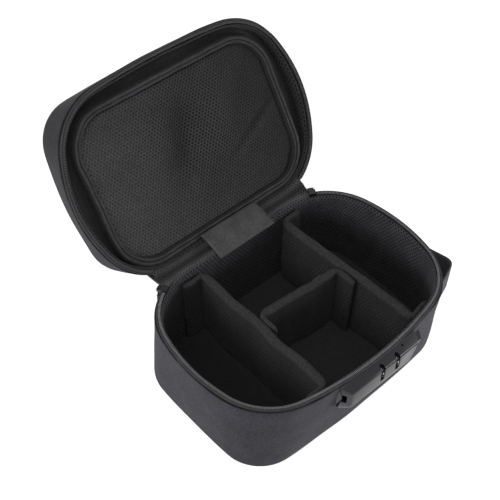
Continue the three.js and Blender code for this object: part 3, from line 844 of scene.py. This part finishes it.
# The lid's pad: foam under a closely holed mesh, drawn down inside a rolled hem of plain cloth,
# which is glued round the foam. The mesh is slack: it sinks along the middle, swells beside that
# and has a crease that runs in from the right edge.
pad_width = case_width - 2 * 18 * mm
pad_front = -back_y + 17.5 * mm
pad_back = back_y - 9.5 * mm
pad_corner = 39 * mm
pad_recess = 6 * mm
pad_roll = 7 * mm
hem_steps = 400
hem_pucker = 0.6 * mm
hem_sway = 0.7 * mm
pad_dish = 4.5 * mm
pad_dish_run = 14 * mm
pad_fade_run = 12 * mm
pad_rough = 0.7 * mm
pad_rough_size = 19 * mm
panel_rings = 44
pad_color = (0.034, 0.034, 0.035)
hem_color = (0.052, 0.052, 0.055)
pad_holes = dict(hole=1 * mm, pitch=3.4 * mm, rows=2.6 * mm, depth=0.9 * mm)


def ridge_tone(looks):
    """Painted light: the hem is lighter over its two ridges as painted highlights, and darker in its
    furrow and at its foot as painted shade.
    """
    across = looks.place("UV", "Y")
    first = across.step(5.6 * mm, 7.0 * mm, 0.7, 1.5) * across.step(8.2 * mm, 9.6 * mm, 1.0, 0.35)
    second = across.step(10.3 * mm, 11.4 * mm, 1.0, 3.0) * across.step(12.4 * mm, 14 * mm, 1.0, 0.4)
    return first * second


# Painted light: the mesh is painted darker in its hollows and towards the right, and lighter on its
# swells and towards the left, as painted shade and highlight; its holes open and darken where it is
# pulled
pad_mesh = holed_mesh(
    "pad mesh",
    pad_color,
    **pad_holes,
    hole_tone=lambda looks: looks.stored("closed"),
    tone=lambda looks: looks.stored("painted_light"),
    grain=0.75,
)
hem_cloth = woven_cloth(
    "hem cloth", hem_color, thread_pitch, depth=0.15 * mm, grain=0.5, tone=ridge_tone
)
# Middle, half length, half width, direction in degrees and height of each hollow or swell, in mm
pad_shapes = [
    ((-6, 95), 42, 11, 64, -5.0),
    ((40, 102), 34, 12, 72, 4.0),
    ((76, 80), 40, 3.2, 26, -2.2),
    ((73, 73), 40, 4.5, 26, 1.6),
    ((-62, 70), 60, 18, 80, 1.6),
    ((30, 30), 50, 14, 12, 1.6),
    ((70, 118), 26, 9, 60, -1.5),
]
# The same for the painted shade and highlight on the mesh there
painted_light_shapes = [
    ((-8, 98), 38, 12, 66, -1.15),
    ((34, 102), 38, 14, 72, 0.5),
    ((12, 50), 34, 16, 50, -0.3),
    ((74, 78), 42, 3, 26, -0.4),
    ((70, 71), 42, 4, 26, 0.4),
    ((-75, 140), 50, 10, -8, -0.4),
]
# And for how nearly the holes are closed, least along the pulled stretch in the middle
closed_shapes = [((15, 95), 62, 75, 0, -0.5)]


def pad_outline(inset, level):
    corner = max(pad_corner - inset, 4 * mm)
    plan = outline(pad_width / 2 - inset, pad_front + inset, pad_back - inset, corner, 0, 0)
    return at_level(plan, level)


def evenly(ring, count):
    """The same closed ring with count points, evenly spaced."""
    closed = np.vstack([ring, ring[:1]])
    travelled = np.r_[0, np.cumsum(np.linalg.norm(np.diff(closed, axis=0), axis=1))]
    places = np.linspace(0, travelled[-1], count, endpoint=False)
    return np.array([np.interp(places, travelled, closed[:, k]) for k in range(3)]).T


def pad_hem():
    """Two ridges with a furrow between, then the foot, which runs out to the lining."""
    section = [(-1.6, 6), (-1.7, 4.4), (-1.2, 2.4), (-0.2, 0.9), (1.2, 0.1), (2.4, 0.3), (3.1, 1.1)]
    section += [(3.6, 1.4), (4, 0.9), (4.8, 0.2), (5.6, 0.4), (6.3, 1.4), (6.8, 3), (7, 5), (6.6, 12)]
    rings = [pad_outline(x * mm, pad_recess + down * mm) for x, down in section]
    edge = pad_outline(0, pad_recess + 7 * mm)
    level = pad_recess + 8 * mm
    wall = at_level(case_ring(lid_part, level, inside_inset - 0.6 * mm), level)
    edge, wall = evenly(edge, hem_steps), evenly(wall, hem_steps)
    sag = np.array((0, 0, 1.2 * mm))
    foot = [edge + (wall - edge) * share + sag * share * (1 - share) * 4 for share in (1, 0.66, 0.33)]
    under = [ring + np.array((0, 0, 3 * mm)) for ring in (edge, wall)]
    return [gathered(evenly(ring, hem_steps), i) for i, ring in enumerate(rings)] + under + foot


def gathered(ring, across):
    """Fine gathers across the hem, at one ring of its section."""
    moved = ring.copy()
    count = len(ring)
    for i in range(count):
        turn = 2 * math.pi * i / count
        round_place = Vector((math.cos(turn), math.sin(turn), 0))
        pucker = noise.noise(round_place * 26 + Vector((0, 0, across * 0.3)))
        sway = noise.noise(round_place * 7 + Vector((0, 0, across * 0.1 + 9)))
        moved[i, 2] += hem_pucker * pucker + hem_sway * sway
        moved[i, :2] *= 1 + 0.006 * sway
    return moved


def shapes_at(shapes, x, y):
    """The sum of the shapes at a place, each full at its middle and fading softly outwards."""
    total = 0.0
    for (middle_x, middle_v), half_length, half_width, turn, amount in shapes:
        a = math.radians(turn)
        dx, dv = x / mm - middle_x, (hinge_y - y) / mm - middle_v
        along = (dx * math.cos(a) + dv * math.sin(a)) / half_length
        across = (dv * math.cos(a) - dx * math.sin(a)) / half_width
        total += amount * math.exp(-(along**2) - across**2)
    return total


def pad_height(x, y):
    """Depth of the mesh's face below the parting plane, away from the lid's edge."""
    inside = min(pad_width / 2 - pad_roll - abs(x), y - pad_front - pad_roll, pad_back - pad_roll - y)
    edge = max(inside, 0.0)
    fade = 1 - math.exp(-((edge / pad_fade_run) ** 2))
    rough = pad_rough * noise.noise(Vector((x / pad_rough_size, y / pad_rough_size, 3)))
    dish = pad_dish * (0.75 + 0.5 * (1 - math.exp(-edge / pad_dish_run)))
    return pad_recess + dish + fade * (rough - shapes_at(pad_shapes, x, y) * mm)


def pad_panel():
    """The mesh's face, as rings that close in on its middle, and a flat underside."""
    tuck = [pad_outline(pad_roll * share, 0) for share in (0.6, 0.85, 0.95)]
    edge = pad_outline(pad_roll * 1.02, 0)
    middle = edge.mean(axis=0)
    shares = np.r_[0, 0.012, np.linspace(0.03, 0.97, panel_rings)]
    rings = tuck + [edge + (middle - edge) * share for share in shares]
    sunk = (6, 4, 2.6, 1.8, 0.9, 0.3)
    for i, ring in enumerate(rings):
        ring[:, 2] = [pad_height(x, y) for x, y, _ in ring]
        ring[:, 2] += (sunk[i] if i < len(sunk) else 0) * mm
    return [pad_outline(pad_roll * 0.55, pad_recess + 16 * mm)] + rings


def stretch_at(x, y):
    """Painted light on the mesh: darker towards the lid's right side and away from the hinge, lighter
    towards its left, with painted shade and highlight over its hollows and swells.
    """
    level = 2.1 - 0.0125 * (x / mm) - 0.001 * ((hinge_y - y) / mm - 80)
    return max(level + shapes_at(painted_light_shapes, x, y), 0.3)


def closed_at(x, y):
    return 0.55 + shapes_at(closed_shapes, x, y)


hem = loft("lid_pad_hem", [in_lid(r) for r in pad_hem()], hoop=True)
finish(hem, hem_cloth, "lid")
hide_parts("lid_pad")
panel = loft("lid_pad_panel", pad_panel(), flat=lambda i: i >= 1)
for name, value_at in {"painted_light": stretch_at, "closed": closed_at}.items():
    stored = panel.data.attributes.new(name, "FLOAT", "POINT")
    stored.data.foreach_set("value", [value_at(v.co.x, v.co.y) for v in panel.data.vertices])
panel.data.transform(open_turn @ Matrix.Translation((0, 0, hinge_z)))
finish(panel, pad_mesh, "lid")
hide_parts("lid_pad")


# The cloth hinge. Outside, a band of the outer cloth joins both back walls. Inside, the lining
# mesh runs on from the base's wall to the lid's in two soft rolls with a crease between them.
hinge_half = 88 * mm
hinge_columns = 60
hinge_slack = 1.3
hinge_rise = 3.4 * mm
hinge_roll = 2 * mm
hinge_crease = 2.2 * mm
hinge_wander = 1 * mm
hinge_mesh_color = (0.095, 0.095, 0.098)
hinge_holes = dict(hole=0.7 * mm, pitch=3 * mm, rows=2.4 * mm, depth=0.9 * mm)


def back_inset(x):
    """How far the back rim lies in from its straight run, at x."""
    past = max(abs(x) - corner_x, 0.0)
    return rim_corner - math.sqrt(rim_corner**2 - past**2)


def lid_point(x, inset, level):
    return in_lid(np.array([[x, back_y - inset, level]]))[0]


def base_point(x, inset, level):
    return np.array([x, back_y - inset, base_part["height"] - level])


def strip_reach(low, high):
    """The strip's run over its folds, from the straight way across and its slack."""
    return float(np.linalg.norm(high(0) - low(0))) * hinge_slack


def strip_between(name, low, high, lift, rows, thickness):
    """A cloth strip from low(x) to high(x), raised by lift(share, x), then thickened."""
    points = []
    for x in np.linspace(-hinge_half, hinge_half, hinge_columns + 1):
        start, end = low(x), high(x)
        for row in range(rows + 1):
            share = row / rows
            points.append(start + (end - start) * share + lift(share, x))
    faces = []
    places = []
    width = 2 * hinge_half / hinge_columns
    reach = strip_reach(low, high)
    for c in range(hinge_columns):
        for r in range(rows):
            a = c * (rows + 1) + r
            b = a + rows + 1
            faces.append((a, b, b + 1, a + 1))
            u0, u1, v0, v1 = c * width, (c + 1) * width, reach * r / rows, reach * (r + 1) / rows
            places.append([(u0, v0), (u1, v0), (u1, v1), (u0, v1)])
    piece = mesh_piece(name, points, faces, places)
    solid = piece.modifiers.new("thickness", "SOLIDIFY")
    solid.thickness = thickness
    solid.offset = 0
    apply_modifiers(piece)
    return piece


def apply_modifiers(piece):
    data = plain_mesh(piece)
    piece.modifiers.clear()
    piece.data = data
    data.polygons.foreach_set("use_smooth", [True] * len(data.polygons))


def inner_low(x):
    return base_point(x, back_inset(x) + inside_inset - 0.6 * mm, zip_edge + 4 * mm)


def inner_high(x):
    return lid_point(x, back_inset(x) + inside_inset + 1.0 * mm, zip_edge + 3 * mm)


def inner_lift(share, x):
    """Into the case and up, over two rolls with a crease between them."""
    rise = hinge_rise * math.sin(math.pi * share) ** 0.8
    share += 0.04 * noise.noise(Vector((x / (24 * mm), 2, 5)))
    rolls = hinge_roll * math.sin(3 * math.pi * share) ** 2 * math.sin(math.pi * share)
    crease = hinge_crease * math.exp(-(((share - 0.5) / 0.07) ** 2))
    wander = hinge_wander * noise.noise(Vector((x / (11 * mm), share * 4, 5)))
    return np.array([0, -0.6, 0.8]) * (rise + rolls - crease + wander)


def roll_tone(looks):
    """Painted light: the mesh is lighter over the rolls as painted highlights, more so on the lower
    one, and darker at the crease between them as painted shade.
    """
    share = looks.place("UV", "Y") / strip_reach(inner_low, inner_high)
    swell = (share * 2 * math.pi).sine()
    return (swell * swell + 0.35) * share.step(0.42, 0.58, 1.3, 0.7)


hinge_mesh = holed_mesh("hinge mesh", hinge_mesh_color, **hinge_holes, tone=roll_tone)
inner_strip = strip_between(
    "hinge_lining_mesh", inner_low, inner_high, inner_lift, rows=18, thickness=1.4 * mm
)
finish(inner_strip, hinge_mesh, None)
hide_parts("hinge_lining")
inner_low(0)
inner_high(0)
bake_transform(inner_strip)


def outer_low(x):
    return base_point(x, back_inset(x) - 0.9 * mm, 16 * mm)


def outer_high(x):
    return lid_point(x, back_inset(x) - 0.4 * mm, 16 * mm)


def outer_lift(share, x):
    """Draws the band's middle in to the hinge line, just outside the base's rim."""
    peak = 1 - abs(2 * share - 1)
    top = base_point(x, back_inset(x) - 1.2 * mm, 2.0 * mm)
    middle = (outer_low(x) + outer_high(x)) / 2
    return (top - middle) * peak**1.25


outer_strip = strip_between(
    "hinge_band_cloth", outer_low, outer_high, outer_lift, rows=16, thickness=1.1 * mm
)
finish(outer_strip, outer_cloth, None)
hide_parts("hinge_band")
outer_low(0)
outer_high(0)
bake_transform(outer_strip)


# The flap: a plain stiff cloth tab, sewn down along the hinge and lying over the back
# compartment, with its edges turned under.
flap_color = (0.13, 0.13, 0.134)
flap_cloth = woven_cloth("flap cloth", flap_color, 0.9 * mm, thread_depth, grain=0.5)
flap_low, flap_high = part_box("fabric_flap")
flap_thickness = 1.1 * mm
flap_arch = 0.9 * mm
flap_sag = 1.1 * mm
flap_fold_from = 0.86


def flap_rings():
    root_y, tip_y = flap_high.y, flap_low.y
    root_z, tip_z = flap_high.z - 0.7 * mm, flap_low.z + 0.6 * mm
    rings = []
    for share in np.linspace(0, 1, 15):
        y = root_y + (tip_y - root_y) * share
        z = root_z + (tip_z - root_z) * share + flap_arch * math.sin(math.pi * share)
        ring = []
        thick = flap_thickness * (1.5 if share > flap_fold_from else 1.0) / 2
        for side, turn in ((1, 1), (-1, -1)):
            for x in np.linspace(flap_low.x, flap_high.x, 23)[::turn]:
                drop = flap_sag * share * (0.5 - (x - flap_low.x) / (flap_high.x - flap_low.x))
                ring.append((x, y, z - drop + side * thick))
        rings.append(np.array(ring))
    return rings


flap = loft("flap_cloth", flap_rings())
finish(flap, flap_cloth, None)
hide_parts("fabric_flap")
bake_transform(flap)


# The dividers: foam boards in spacer mesh with a welted edge. Each end folds over as a thinner
# tab, which holds by a strip of hooks to the lining or, on the cross divider, to its neighbour.
divider_top = 84 * mm
divider_bottom = floor_top + 0.2 * mm
divider_half = 4 * mm
tab_half = 2.25 * mm
tab_length = 17 * mm
strip_gap = 1.4 * mm
left_divider = dict(back=-48 * mm, front=-46.5 * mm, side=-1)
right_divider = dict(back=50 * mm, front=59 * mm, side=1)
cross_left_y = 9 * mm
cross_right_y = 2 * mm
bend_trim = 5 * mm
bend_width = 0.62
end_tapers = (0.45, 0.85, 1.0)
board_sway = 2.2 * mm
board_dip = 0.9 * mm
divider_holes = dict(hole=0.66 * mm, pitch=2.9 * mm, rows=1.7 * mm, depth=0.6 * mm)
hook_color = (0.02, 0.02, 0.021)


def top_band(looks):
    """Lighter over the boards' top edges: partly painted light where the tops face up, partly the
    fuzzier mesh there.
    """
    height = looks.place("Object", "Z")
    grain = looks.object_noise(2.4 * mm) * 1.2 + 0.4
    return height.step(divider_top - 5.5 * mm, divider_top - 2.5 * mm, 0.9, 1.7) * grain


divider_mesh = holed_mesh(
    "divider mesh", mesh_color, **divider_holes, hole_tone=0.15, tone=top_band
)


def wall_y(x, level, inset, back):
    """Where a wall of the base lies at x, at a level and an inset."""
    ring = case_ring(base_part, level, inset)
    half = ring[ring[:, 1] > 0] if back else ring[ring[:, 1] < 0]
    order = np.argsort(half[:, 0])
    return float(np.interp(x, half[order, 0], half[order, 1]))


def divider_x(divider, y):
    share = (back_y - y) / case_depth
    return divider["back"] + (divider["front"] - divider["back"]) * share


def side_path(divider):
    """Plan of a side divider at a level: tab along the back wall, panel, tab along the front."""
    reach = divider["side"] * (tab_length + divider_half)

    def at(level):
        inset = inside_inset + strip_gap + tab_half - 0.2 * mm
        points = []
        for back in (True, False):
            x = divider["back"] if back else divider["front"]
            ends = [(x + reach, wall_y(x + reach, level, inset, back))]
            ends.append((x, wall_y(x, level, inset, back)))
            points += ends if back else ends[::-1]
        return np.array(points)

    return at


def cross_path():
    """Plan of the cross divider: tabs along both side dividers' faces, panel between."""

    def face(divider, y):
        return divider_x(divider, y) - divider["side"] * (divider_half + strip_gap + tab_half)

    low_left = cross_left_y - divider_half - tab_length
    low_right = cross_right_y - divider_half - tab_length
    plan = np.array(
        [
            (face(left_divider, low_left), low_left),
            (face(left_divider, cross_left_y), cross_left_y),
            (face(right_divider, cross_right_y), cross_right_y),
            (face(right_divider, low_right), low_right),
        ]
    )
    return lambda level: plan


def stations(plan, tab_count=9, panel_count=46):
    """Points along a three-part plan with rounded bends, and each one's share of full width."""
    points = []
    widths = []
    legs = list(zip(plan, plan[1:]))
    for i, (start, end) in enumerate(legs):
        trim = bend_trim / np.linalg.norm(end - start)
        low = 0.0 if i == 0 else trim
        high = 1.0 if i == 2 else 1 - trim
        count = panel_count if i == 1 else tab_count
        for share in np.linspace(low, high, count):
            points.append(start + (end - start) * share)
            widths.append(1.0 if i == 1 else tab_half / divider_half)
        if i == 2:
            continue
        ahead = legs[i + 1][1] - end
        leave = end - (end - start) * trim
        enter = end + ahead / np.linalg.norm(ahead) * bend_trim
        points += bend_between(leave, end, enter, (0.25, 0.5, 0.75))
        widths += [bend_width] * 3
    return np.array(points), np.array(widths)


def bend_between(start, corner, end, shares):
    """Points on the smooth bend from start to end that a corner pulls towards itself."""
    return [start * (1 - t) ** 2 + corner * 2 * t * (1 - t) + end * t**2 for t in shares]


def board_section():
    """(half width share, height share) up one face, over the welt and down the other."""
    face = [(0.30, 0.0), (0.75, 0.006), (0.95, 0.02), (1.0, 0.05)]
    for height in (0.12, 0.22, 0.35, 0.5, 0.65, 0.78, 0.86):
        face.append((1.0 + 0.1 * math.sin(math.pi * height), height))
    face += [(1.0, 0.9), (0.92, 0.918), (0.9, 0.928), (0.98, 0.942), (0.99, 0.962)]
    face += [(0.86, 0.982), (0.56, 0.996), (0.2, 1.0)]
    return face + [(-w, h) for w, h in face[::-1]]


def padded_board(name, path, seed):
    height = divider_top - divider_bottom
    section = board_section()
    tops = [path(base_part["height"] - z) for z in (divider_bottom, divider_top)]
    (low_points, widths), (high_points, _) = (stations(plan) for plan in tops)
    rings = []
    count = len(low_points)
    for k in range(count):
        ring = []
        for width, share in section:
            line = low_points * (1 - share) + high_points * share
            ahead = line[min(k + 1, count - 1)] - line[max(k - 1, 0)]
            side = np.array([-ahead[1], ahead[0]]) / np.linalg.norm(ahead)
            taper = end_tapers[min(k, count - 1 - k, 2)]
            bulge = 1 + 0.1 * noise.noise(Vector((k * 0.5, share * 5, seed + 3)))
            sway = board_sway * noise.noise(Vector((k * 0.11, share, seed + 7)))
            spot = line[k] + side * (width * widths[k] * divider_half * taper * bulge + sway)
            dip = board_dip * (1 - taper + noise.noise(Vector((k * 0.2, share, seed))))
            ring.append((*spot, divider_bottom + height * share - dip * share))
        rings.append(np.array(ring))
    return loft(name, smooth_boards(rings))


def smooth_boards(rings):
    """Evens out the change of thickness from panel to tab."""
    stack = np.array(rings)
    for _ in range(2):
        stack[1:-1] = 0.25 * stack[:-2] + 0.5 * stack[1:-1] + 0.25 * stack[2:]
    return list(stack)


for body, path, seed in (
    ("divider_left", side_path(left_divider), 2),
    ("divider_right", side_path(right_divider), 9),
    ("divider_cross", cross_path(), 15),
):
    board = padded_board(f"{body}_board", path, seed)
    finish(board, divider_mesh, body)
    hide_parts(body)

hook_looks = Looks("hook tape", Roughness=0.9)
hook_looks.set("Base Color", hook_looks.shade(hook_color, hook_looks.object_noise(mm)))
for name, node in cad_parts.items():
    if name.startswith("hook_strip"):
        wear(node, hook_looks.material)


# The lock: a glossy moulded cover on the front wall with two dials in slots, a small hole in its
# upper slope, a mouth at the left for the zip pulls and a release button in the slanted right
# end. Two screws hold it from inside the wall.
lock_low, lock_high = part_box("lock_housing")
lock_proud = 9 * mm
wall_y_at_lock = lock_low.y + lock_proud
lock_z = (lock_low.z + lock_high.z) / 2
lock_half_height = 15 * mm
lock_half_length = 44 * mm
cover_wall = 1.8 * mm
cover_foot = 3 * mm
ridge_height = 10 * mm
ridge_round = 2.2 * mm
foot_round = 1.6 * mm
left_slope = 6 * mm
right_slant = 12 * mm
corner_points = 6
upper_ridge = 3
mouth_left, mouth_right = -46 * mm, -38 * mm
mouth_round = 1.5 * mm
seam_radius = 0.5 * mm
dial_out, dial_up, dial_radius = 3.1 * mm, 4 * mm, 6.8 * mm
dial_gap = 0.6 * mm
dial_places = {"dial_left": -1.8 * mm, "dial_right": 16.2 * mm}
slot_half_width = 2.4 * mm
slot_low, slot_high = -5 * mm, 13.2 * mm
pin_hole_x = 26 * mm
pin_hole_radius = 0.9 * mm
window_half_width = 2.6 * mm
well_past = 60 * mm
digit_count = 10
digit_size = 2.7 * mm
digit_relief = 0.1 * mm
digit_weight = 0.07 * mm
digit_shift = 0.8 * mm
first_digit_turn = 18

cover_looks = Looks("lock plastic", Roughness=0.26, Specular_IOR_Level=0.36)
cover_looks.set("Base Color", (0.012, 0.012, 0.016, 1))
cover_looks.bump(cover_looks.object_noise(0.5 * mm), 0.015 * mm, 0.4)
dial_looks = Looks("dial plastic", Roughness=0.6, Specular_IOR_Level=0.1)
dial_looks.set("Base Color", (0.01, 0.01, 0.011, 1))
paint = Looks("white paint", Roughness=0.5)
paint.set("Base Color", (0.8, 0.8, 0.8, 1))
steel_looks = Looks("zinc plated steel", Roughness=0.35, Metallic=1.0)
steel_looks.set("Base Color", (0.55, 0.55, 0.57, 1))


def rounded(corners, radii):
    """A closed outline with its corners rounded; one radius for each corner."""
    points = []
    count = len(corners)
    for k in range(count):
        here = np.array(corners[k])
        before, after = np.array(corners[k - 1]) - here, np.array(corners[(k + 1) % count]) - here
        start = here + before / np.linalg.norm(before) * radii[k]
        end = here + after / np.linalg.norm(after) * radii[k]
        points += bend_between(start, here, end, np.linspace(0, 1, corner_points))
    return points


def cover_section(inset):
    """(out, up) round the cover: flat back, slopes above and below, and the face."""
    half, ridge, face = lock_half_height - inset, ridge_height - inset * 0.6, lock_proud - inset
    upper = [(face, ridge), (1 * mm, half), (-cover_foot, half)]
    lower = [(out, -up) for out, up in upper[::-1]]
    radii = [0.2 * mm, foot_round, ridge_round, ridge_round, foot_round, 0.2 * mm]
    return rounded(lower + upper, radii)


def cover_form(name, inset, edge, left, right):
    """The section along x, between an end that slopes off the wall and a slanted end."""
    shares = (0.0, 0.4, 1.0)
    insets = [inset + edge * (1 - share) ** 2 for share in shares]
    ends = list(zip(insets, shares))
    rings = [cover_ring(at, left, edge * share, slope=True) for at, share in ends]
    rings += [cover_ring(at, right, -edge * share, slope=False) for at, share in ends[::-1]]
    return loft(name, rings)


def cover_ring(inset, end, move, slope):
    """One ring of the cover at an end, leaning by its slope or by its slant."""
    ring = []
    for out, up in cover_section(inset):
        if slope:
            lean = left_slope * max(out, 0) / lock_proud
        else:
            lean = -right_slant * (0.5 - up / lock_half_height / 2)
        ring.append((end + lean + move, wall_y_at_lock - out, lock_z + up))
    return np.array(ring)


def bar_along(axis, outline_points, low, high):
    """A straight-sided cutter: an outline carried from low to high along x, y or z."""
    order = {"x": [2, 0, 1], "y": [0, 2, 1], "z": [0, 1, 2]}[axis]
    plan = np.array(outline_points)
    return loft("cutter", [at_level(plan, place)[:, order] for place in (low, high)])


def circle(x, y, radius, count=20):
    turns = np.linspace(0, 2 * math.pi, count, endpoint=False)
    return [(x + radius * math.cos(t), y + radius * math.sin(t)) for t in turns]


def slot_outline(x):
    """A slot with round ends, as (x, z) points."""
    points = []
    for tip, inward, start in ((slot_high, -1, 0), (slot_low, 1, math.pi)):
        centre = lock_z + tip + inward * slot_half_width
        for t in np.linspace(start, start + math.pi, 10):
            points.append((x + slot_half_width * math.cos(t), centre + slot_half_width * math.sin(t)))
    return points


def cut_away(piece, cutters, sharp_angle=38):
    """Takes the cutters out of a closed piece, then keeps its hard edges sharp."""
    for cutter in cutters:
        cut = piece.modifiers.new("cut", "BOOLEAN")
        cut.operation = "DIFFERENCE"
        cut.solver = "EXACT"
        cut.object = cutter
    apply_modifiers(piece)
    for cutter in cutters:
        bpy.data.objects.remove(cutter)
    piece.data.set_sharp_from_angle(angle=math.radians(sharp_angle))


def lock_cover():
    cover = cover_form("lock_cover", 0.0, 1.4 * mm, -lock_half_length, lock_half_length)
    hollow = cover_form("cutter", cover_wall, 0.3 * mm, 2.6 * mm - lock_half_length, well_past)
    slots = [
        bar_along("y", slot_outline(x), wall_y_at_lock - 14 * mm, wall_y_at_lock - 0.9 * mm)
        for x in dial_places.values()
    ]
    mouth_corners = [(-5, -5), (-1.2, -5), (-1.2, 5), (-5, 5)]
    mouth_corners = [(wall_y_at_lock + y * mm, lock_z + z * mm) for y, z in mouth_corners]
    mouth = bar_along("x", rounded(mouth_corners, [mouth_round] * 4), mouth_left, mouth_right)
    pin_place = circle(pin_hole_x, wall_y_at_lock - 3 * mm, pin_hole_radius)
    pin = bar_along("z", pin_place, lock_z + 6 * mm, lock_z + 20 * mm)
    ridge = cover_section(0)[upper_ridge * corner_points + 2]
    seam_place = circle(wall_y_at_lock - ridge[0], lock_z + ridge[1], seam_radius, 8)
    seam = bar_along("x", seam_place, dial_places["dial_left"], well_past)
    cut_away(cover, [hollow, *slots, mouth, pin, seam])
    return cover


cover = lock_cover()
finish(cover, cover_looks.material, "base")
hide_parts("lock_housing")


def dial_window():
    """The window in the wall behind the cover, which the dials' backs turn in."""
    reach = dial_radius + dial_gap
    left = dial_places["dial_left"] - window_half_width
    right = dial_places["dial_right"] + window_half_width
    low, high = lock_z + dial_up - reach, lock_z + dial_up + reach
    corners = [(left, low), (right, low), (right, high), (left, high)]
    return bar_along("y", corners, wall_y_at_lock - 3 * mm, wall_y_at_lock + 4.05 * mm)


cut_away(base_shell, [dial_window()], sharp_angle=75)


def digit(number, x):
    """One raised digit's mesh, at its place round the dial at x."""
    text = bpy.data.curves.new("digit", "FONT")
    text.body = str(number)
    text.size = digit_size
    text.extrude = digit_relief
    text.offset = digit_weight
    text.align_x = "CENTER"
    text.align_y = "CENTER"
    source = add_object("digit", text)
    data = plain_mesh(source)
    bpy.data.objects.remove(source)
    turn = math.radians(first_digit_turn + 360 / digit_count * number)
    out = Vector((0, -math.cos(turn), math.sin(turn)))
    up = Vector((0, math.sin(turn), math.cos(turn)))
    centre = Vector((x - digit_shift, wall_y_at_lock - dial_out, lock_z + dial_up))
    place = Matrix((Vector((1, 0, 0)), up, out)).transposed().to_4x4()
    data.transform(Matrix.Translation(centre + out * dial_radius) @ place)
    return data


for body, x in dial_places.items():
    work = bmesh.new()
    for number in range(digit_count):
        data = digit(number, x)
        work.from_mesh(data)
        bpy.data.meshes.remove(data)
    bmesh.ops.remove_doubles(work, verts=work.verts, dist=0.001 * mm)
    joined = bpy.data.meshes.new(f"{body}_digits")
    work.to_mesh(joined)
    work.free()
    digits = face_outwards(add_object(f"{body}_digits", joined))
    wear(digits, paint.material)
    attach(digits, body)

for name, looks in {
    "release_button": cover_looks,
    "dial_left": dial_looks,
    "dial_right": dial_looks,
    "dial_shaft": steel_looks,
    "release_spring": steel_looks,
    "lock_screw_left": steel_looks,
    "lock_screw_right": steel_looks,
}.items():
    wear(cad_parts[name], looks.material)


# The zip's sliders and pulls: small black-finished metal castings. One slider waits behind the
# hinge at each end of the zip, with its pull hanging from it.
slider_looks = Looks("black metal", Roughness=0.38, Metallic=0.6)
slider_looks.set("Base Color", (0.03, 0.03, 0.032, 1))
for name in ("slider_left", "slider_right", "pull_left", "pull_right"):
    wear(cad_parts[name], slider_looks.material)


# The grab loop: a strip of stiff webbing, sewn down at both ends under the rim of the front right
# corner, so that it stands off the wall between them.
loop_color = (0.13, 0.13, 0.138)
loop_below_rim = 7 * mm
loop_width = 29 * mm
loop_thickness = 1.7 * mm
loop_from, loop_peak, loop_to = 5, -28, -57
loop_stand_off = 19 * mm
loop_root = 2.5 * mm
loop_round = 0.22
loop_edge = 0.5 * mm
loop_webbing = woven_cloth("loop webbing", loop_color, pitch=1.3 * mm, depth=0.3 * mm)


def loop_spot(turn, out):
    a = math.radians(turn)
    radius = rim_corner - loop_root + out
    return np.array((corner_x + radius * math.cos(a), -corner_y + radius * math.sin(a)))


def loop_line(steps=16):
    """Straight from both roots to a rounded peak, with the way outwards at each point."""
    peak = loop_spot(loop_peak, loop_stand_off)
    start, end = loop_spot(loop_from, 0), loop_spot(loop_to, 0)
    near, far = peak + (start - peak) * loop_round, peak + (end - peak) * loop_round
    shares = np.linspace(0, 1, steps)
    rise = start + (near - start) * shares[:-1, None]
    fall = far + (end - far) * shares[1:, None]
    line = np.vstack([rise, bend_between(near, peak, far, shares), fall])
    along = np.gradient(line, axis=0)
    along /= np.linalg.norm(along, axis=1)[:, None]
    return line, np.c_[-along[:, 1], along[:, 0]]


def loop_section():
    """The strap's section as (inset, level), with thin edges above and below."""
    levels = np.linspace(loop_edge, loop_width - loop_edge, 13) + loop_below_rim
    outer = [(0.0, level) for level in levels]
    inner = [(loop_thickness, level) for level in levels[::-1]]
    foot = (loop_thickness / 2, loop_below_rim + loop_width)
    top = (loop_thickness / 2, loop_below_rim)
    return [*outer, foot, *inner, top]


grab_loop = sweep("grab_loop_webbing", *loop_line(), loop_section(), in_base)
finish(grab_loop, loop_webbing, "base")
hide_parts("grab_loop")

boxes = {"cad": cad_box, "visual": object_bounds()}
{k: [list(map(float, c)) for c in v] for k, v in boxes.items()}
